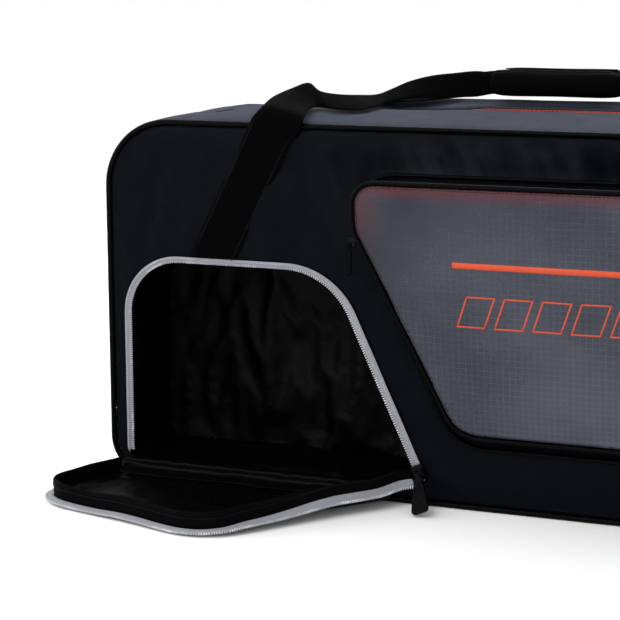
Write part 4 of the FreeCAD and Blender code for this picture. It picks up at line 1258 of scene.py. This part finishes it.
def pocket():
    """Front pocket: gusset, see-through face, covered cords and the tape behind the face."""
    like = pocket_corners()
    seam = settled(traced(pocket_corners(9.0), 6.0, like))
    face = traced(pocket_corners(0.0), 6.0, like)
    tangent = directions(face, closed=True)
    out = np.column_stack([-tangent[:, 1], tangent[:, 0]])
    sewn_edge = upright(seam, FRONT_Y + 0.2)
    free_edge = np.array([on_face(x, z) for x, z in face])

    def point(t, index):
        """The gusset t of the way from its seam to the face; it is drawn taut beside the slider."""
        x, y, z = sewn_edge[index] + (free_edge[index] - sewn_edge[index]) * t
        taut = smooth_step((z - 204.0) / 14.0) * smooth_step((-104.0 - x) / 12.0)
        belly = math.sin(math.pi * t) * (2.6 + crease((x, y, z), 26.0, 1.3, seed=8.0) - 3.9 * taut)
        return x + out[index][0] * belly, y, z + out[index][1] * belly

    rows = grid(np.linspace(0, 1, 11), range(len(face)), point)
    # the gusset takes the darkened copy of the nylon (painted shade)
    side = swept(rows, "pocket_side_cloth", SHADED_SIDE_NYLON, "bag", ["pocket_gusset"], "black_nylon", tube=True)
    thicken(side, 1.2, 1.0)

    window = Piece()
    flat, faces = filled(traced(pocket_corners(-0.4), 6.0, like), 8.0)
    edge = gap(flat, face)
    window.add([on_face(x, z, face_swell(x, z, e)) for (x, z), e in zip(flat, edge)], faces)
    window = window.make("pocket_window", WINDOW, "bag", ["pocket_face"], "ripstop")
    thicken(window, 0.4)

    ring = traced(pocket_corners(2.0), 5.0, like)
    closed_cord("pocket_face_cord", "pocket_face_piping",
                np.array([on_face(x, z, 0.8) for x, z in ring]), 1.95)
    ring = settled(traced(pocket_corners(11.2), 5.0, like))
    closed_cord("pocket_seam_cord", "pocket_seam_piping", upright(ring, FRONT_Y - 1.8), 1.95)

    ring = traced(pocket_corners(-2.2), 5.0, like)
    line = np.array([on_face(x, z, face_swell(x, z, 2.2) + 0.25) for x, z in ring])
    outward = np.array(on_face(0, 100, 1.0)) - np.array(on_face(0, 100, 0.0))
    sewn("pocket_stitching", [line], outward, 3.6, (2.6, 0.5, 0.45), closed=True)

    outer, inner = traced(pocket_corners(-2.6), 6.0, like), traced(pocket_corners(-10.6), 6.0, like)
    order = run_of([z > POCKET_HIGH - 60.0 for _, z in outer])
    shares = np.array([0.0, 0.33, 0.67, 1.0])
    rows = grid(order, shares,
                lambda i, share: on_face(*(outer[i] + (inner[i] - outer[i]) * share), -1.6 - 0.5 * share))
    runs = runs_of(lengths(outer[order]), shares * 8.0)
    tape = swept(rows, "pocket_zip_tape_cloth", ORANGE_TAPE, "bag", ["pocket_zip_tape"], "orange_tape", runs)
    thicken(tape, 0.6, smooth=False)


def face_swell(x, z, edge):
    """How far the pocket's face stands out of its plane, filled and slightly puckered."""
    calm = min(1.0, edge / 30.0)
    pucker = min(1.0, edge / 8.0)
    return 0.8 + 4.0 * calm * calm * (3 - 2 * calm) + pucker * crease((x, z, 0.0), 52.0, 1.1, seed=12.0)


def pocket_print():
    """Orange stripe and a row of plain slanted bars printed on the pocket's face."""
    face = traced(pocket_corners(), 6.0)

    def patch(piece, corners, cells):
        a, b, c, d = np.array(corners)

        def point(s, t):
            spot = (a + (b - a) * s) * (1 - t) + (d + (c - d) * s) * t
            return on_face(*spot, face_swell(*spot, gap(spot[None], face)[0]) + 0.22)

        piece.sweep(grid(np.arange(cells + 1) / cells, (0.0, 0.5, 1.0), point))

    stripe = Piece()
    low, high = 214.1, 219.2
    patch(stripe, [(-46.0, low), (POCKET_RIGHT - 3.0, low), (POCKET_RIGHT - 3.0, high), (-46.0, high)], 90)
    bars = Piece()
    tall, wide, lean, stroke = 27.0, 24.0, 9.0, 1.4

    def bar(number, margin):
        """Corners of a slanted bar, margin in from its edge."""
        across, up = (margin, wide - margin), (margin, tall - margin)
        box = [(across[0], up[0]), (across[1], up[0]), (across[1], up[1]), (across[0], up[1])]
        return [(-44.0 + number * 31.0 + u + lean / tall * v, 164.0 + v) for u, v in box]

    for number in range(9):
        outer, inner = bar(number, 0.0), bar(number, stroke)
        for k in range(4):
            m = (k + 1) % 4
            patch(bars, [outer[k], outer[m], inner[m], inner[k]], 5)
    for piece, name in ((stripe, "pocket_stripe_print"), (bars, "pocket_bar_print")):
        made = piece.make(name, PRINT, "bag", slot="orange_tape")
        thicken(made, 0.12, 0.0, smooth=False)


pocket()
pocket_print()


# ---------------------------------------------------------------- carrying handles

def mirrored(rows):
    """The same strap stations for the right-hand side, in reverse order, front face kept outwards."""
    return [(-x, y, z, -hx, hy, hz) for x, y, z, hx, hy, hz in rows][::-1]


def handle(stem, face, grip_y, leg_lows):
    """One strap from leg to leg over the top, and its padded grip; face is -1 at the front."""
    wall = face * (abs(FRONT_Y) + 1.9)
    slope = math.radians(63.8)
    lean_x, lean_z = math.cos(slope), math.sin(slope)

    def beside(z, offset=0.0):
        """A point of the left leg, offset to the right of its middle line."""
        x = -217.0 - (LEG_TOP + 4.0 - z) / math.tan(slope)
        return x + offset * lean_z, z - offset * lean_x

    def leg(low):
        stations = []
        for number, z in enumerate(np.linspace(low, LEG_TOP, 7)):
            half = (LEG_HALF * lean_z, 0.0, -LEG_HALF * lean_x) if number else (LEG_HALF / lean_z, 0.0, 0.0)
            stations.append((beside(z)[0], wall, z, *half))
        return stations

    edge = [(-212.5, wall + face * 0.9, 321.0, 20.5, 0.0, -6.0)]
    if face < 0:
        loop = edge + [
            (-206.0, -101.5, 331.5, 19.5, -3.0, -4.5), (-209.0, -77.0, 336.5, 18.5, -8.0, -5.0),
            (-209.0, -46.0, 339.5, 15.0, -12.0, -7.0), (-200.0, -40.0, 341.5, 11.0, -14.0, -9.5),
            (-187.0, -47.0, 338.0, 11.0, -14.5, -6.5), (-171.0, -49.0, 336.7, 10.5, -15.0, -5.5),
            (-157.0, -44.0, 336.6, 8.5, -15.0, -5.0), (-148.0, -25.0, 337.4, 5.5, -15.5, -3.8),
            (-144.0, 3.0, 340.0, 3.0, -13.5, -5.0), (-134.0, 23.0, 343.6, 2.5, -10.0, -7.0),
            (-114.0, 27.0, 347.0, 2.0, -7.5, -9.0), (-93.0, 26.0, 348.7, 1.0, -5.5, -10.2),
        ]
        grip_end = [(-73.0, 24.0, 350.2, 0.5, -3.5, -11.0)]
    else:
        loop = edge + [
            (-206.0, 101.0, 329.5, 19.0, 3.0, -3.0), (-199.0, 84.0, 329.5, 17.5, 9.0, 0.0),
            (-187.0, 60.0, 333.0, 16.5, 10.5, -0.5), (-170.0, 38.0, 335.0, 13.0, 14.5, 0.0),
            (-153.0, 26.0, 335.0, 7.0, 17.0, 1.0), (-134.0, 24.0, 335.5, 2.0, 17.0, 1.5),
            (-115.0, 29.0, 338.5, 1.0, 16.0, 3.5), (-96.0, 41.0, 343.5, 0.0, 12.0, 6.5),
        ]
        grip_end = [(-76.0, 54.0, 348.5, 0.0, 6.0, 10.0)]
    twist = -1.0 if face < 0 else 1.0
    loop += grip_end + [(-55.0, grip_y, 351.2, 0.0, face * 1.5, twist * 9.0),
                        (-30.0, grip_y, 351.4, 0.0, face * 0.5, twist * 8.0)]
    stations = spline(leg(leg_lows[0]) + loop + mirrored(leg(leg_lows[1]) + loop), 6)
    nodes = ["handle_leg_%s_%s" % (stem, end) for end in ("left", "right")] + [stem + "_handle_webbing"]
    strap = flat_strap(stations[:, :3], stations[:, 3:], 2.0, stem + "_handle_strap", WEBBING, None, nodes)
    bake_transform(strap)

    thread = Piece()
    for low, side in ((leg_lows[0], 1), (leg_lows[1], -1)):
        def sew(start, end, pitch, length):
            """Stitches between two (z, offset) points of a leg."""
            line = [(side * x, wall + face * 1.15, z) for x, z in (beside(*start), beside(*end))]
            stitches(thread, respaced(np.array(line), 2.0), (0.0, face, 0.0), pitch, (length, 0.6, 0.5))

        for offset in (-17.0, 17.0):
            sew((low + 6.0, offset), (LEG_TOP, offset), 3.4, 2.5)
        if face > 0:
            a, b, c, d = ((z, offset) for z in (low + 10.0, low + 40.0) for offset in (-14.0, 14.0))
            for start, end in ((a, b), (c, d), (a, d), (b, c)):
                sew(start, end, 3.0, 2.2)
    thread.make(stem + "_leg_stitching", THREAD, "bag", slot="black_nylon")
    grip(stem, face, grip_y)


def grip(stem, face, y0):
    """Padded wrap round the strap, pinched at its ends, closed by a bound seam."""
    def point(t, angle):
        pinch = abs(t) ** 7
        y = 13.6 * blunted(math.cos(angle), 0.62) * (1.0 - 0.25 * pinch)
        z = 11.0 * blunted(math.sin(angle), 0.7) * (1.0 - 0.22 * pinch) * (1.0 - 0.05 * math.cos(math.pi * t))
        return t * 58.0, y0 + y, GRIP_HEIGHT + z

    rows = grid(np.linspace(-1, 1, 31), round_angles(28), point)
    made = swept(rows, stem + "_grip_padding", PADDING, stem + "_handle", [stem + "_handle_grip"],
                 "foam_padding", tube=True, caps=True)
    remesh(made, 4.0)
    simulate(made, 14, 1.0, pressure=2.0, stiffness=25.0)
    skin = coordinates(made)
    refine(made)
    line = []
    for x in np.linspace(-54, 54, 40):
        near = skin[(abs(skin[:, 0] - x) < 5.0) & (abs(skin[:, 1] - y0 + face * 1.0) < 6.0)]
        line.append((x, y0 - face * 1.0, near[:, 2].max() + 0.1))
    line = respaced(spline(line[::4], 4), 3.0)
    flat_strap(line, (0.0, 4.2, 0.0), 0.9, stem + "_grip_seam_tape", BINDING, stem + "_handle", across=5)


handle("front", -1, FRONT_GRIP_LINE, (OPENING_HIGH + 2.0, 294.0))
handle("rear", 1, corner("rear_handle_grip", 0).y + 17.0, (240.0, 240.0))


# ---------------------------------------------------------------- shoulder straps on the back

def shoulder_strap(stem):
    """Foam strap, its sewn anchor patch and its lower webbing."""
    low, high = corner(stem + "_pad", 0), corner(stem + "_pad", 1)
    height = (low.z + high.z) / 2
    back = low.y

    def point(t, angle):
        half = 29.0 - 10.5 * smooth_step((t - 0.05) / 0.95)
        half *= 1.0 - 0.35 * smooth_step((t - 0.965) / 0.035)
        z = half * blunted(math.cos(angle), 0.5)
        thick = 4.2 * blunted(math.sin(angle), 0.8)
        channel = 1.1 * math.exp(-((abs(z) - half * 0.55) / 2.4) ** 2)
        y = back + 4.9 + thick * (1.0 - 0.25 * (channel if thick > 0 else 0.0))
        return low.x + 1.0 + t * (high.x - low.x - 2.0), y, height + z

    rows = grid(np.linspace(0, 1, 100), round_angles(26), point)
    made = swept(rows, stem + "_cushion", PADDING, "bag", [stem + "_pad"], "foam_padding",
                 tube=True, caps=True)
    remesh(made, 4.5)
    simulate(made, 12, 1.4, pressure=3.0, stiffness=25.0)
    refine(made)

    patch_low, patch_high = corner(stem + "_anchor", 0), corner(stem + "_anchor", 1)
    width = (patch_high.z - patch_low.z) / 2
    line = np.array([(x, back + 1.3, height) for x in np.linspace(patch_low.x, patch_high.x + 6.0, 14)])
    halves = np.array([(0.0, 0.0, width - 5.0 * t) for t in np.linspace(0, 1, 14)])
    flat_strap(line, halves, 2.2, stem + "_anchor_patch", NYLON, "bag", [stem + "_anchor"], "black_nylon")

    web_low, web_high = corner(stem + "_webbing", 0), corner(stem + "_webbing", 1)
    xs = np.linspace(web_low.x, web_high.x, 40)
    line = np.array([(x, web_low.y + 0.8 + 0.5 * math.sin((x - web_low.x) / 19.0), height) for x in xs])
    flat_strap(line, (0.0, 0.0, 12.5), 1.4, stem + "_lower_webbing", WEBBING, "bag", [stem + "_webbing"])

    thread = Piece()
    for share in (-0.55, 0.55):
        line = np.array([(low.x + 6.0 + t * 396.0, back + 9.3, height + share * (29.0 - 10.5 * t)) for t in
                         np.linspace(0, 1, 40)])
        stitches(thread, line, (0.0, 1.0, 0.0), 3.8, (2.8, 0.6, 0.5))
    for x in (patch_low.x + 5.0, patch_low.x + 30.0):
        line = np.array([(x, back + 2.6, height - width + 6.0), (x, back + 2.6, height + width - 6.0)])
        stitches(thread, respaced(line, 2.0), (0.0, 1.0, 0.0), 3.2, (2.4, 0.6, 0.5))
    thread.make(stem + "_stitching", THREAD, "bag", slot="black_nylon")


for stem in ("strap_upper", "strap_lower"):
    shoulder_strap(stem)


# ---------------------------------------------------------------- inside the bag

def divider():
    """Padded wall between the two rows of rackets, quilted in upright channels."""
    low, high = corner("racket_divider", 0), corner("racket_divider", 1)
    middle = (low.y + high.y) / 2
    zs = np.linspace(low.z, high.z, 40)

    def point(x, spot):
        side, z = spot
        channel = abs(math.sin(math.pi * (x - low.x) / 59.2))
        rim = min(z - low.z, high.z - z, x - low.x, high.x - x)
        puff = min(1.0, rim / 10.0) * (0.6 + 1.3 * channel ** 0.6) + 0.4
        return x, middle + side * puff, z

    rows = grid(np.linspace(low.x, high.x, 120), [(-1, z) for z in zs] + [(1, z) for z in zs[::-1]], point)
    made = swept(rows, "racket_divider_padding", PADDING, "bag", ["racket_divider"], "foam_padding",
                 tube=True, caps=True)
    refine(made)


divider()

NODE_FINISH = {
    "base_board": BOARD,
    "main_zip_slider": ZINC, "shoe_zip_slider": ZINC, "pocket_zip_slider": ZINC,
    "main_zip_pull": RUBBER, "shoe_zip_pull": RUBBER, "pocket_zip_pull": RUBBER,
    "strap_upper_ladder_lock": RUBBER, "strap_lower_ladder_lock": RUBBER,
}
for node, finish in NODE_FINISH.items():
    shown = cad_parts[node]
    shown.data.materials.clear()
    shown.data.materials.append(finish)

# ---------------------------------------------------------------- floor

floor = Piece()
spokes = grid(round_angles(64), (20.0, 1500.0, 6000.0, 40000.0),
              lambda angle, radius: (radius * math.cos(angle), radius * math.sin(angle), -0.2))
floor.sweep(spokes, closed=True)
floor.add([spoke[0] for spoke in spokes], [tuple(range(64))])
floor.make("studio_floor", floor_finish())
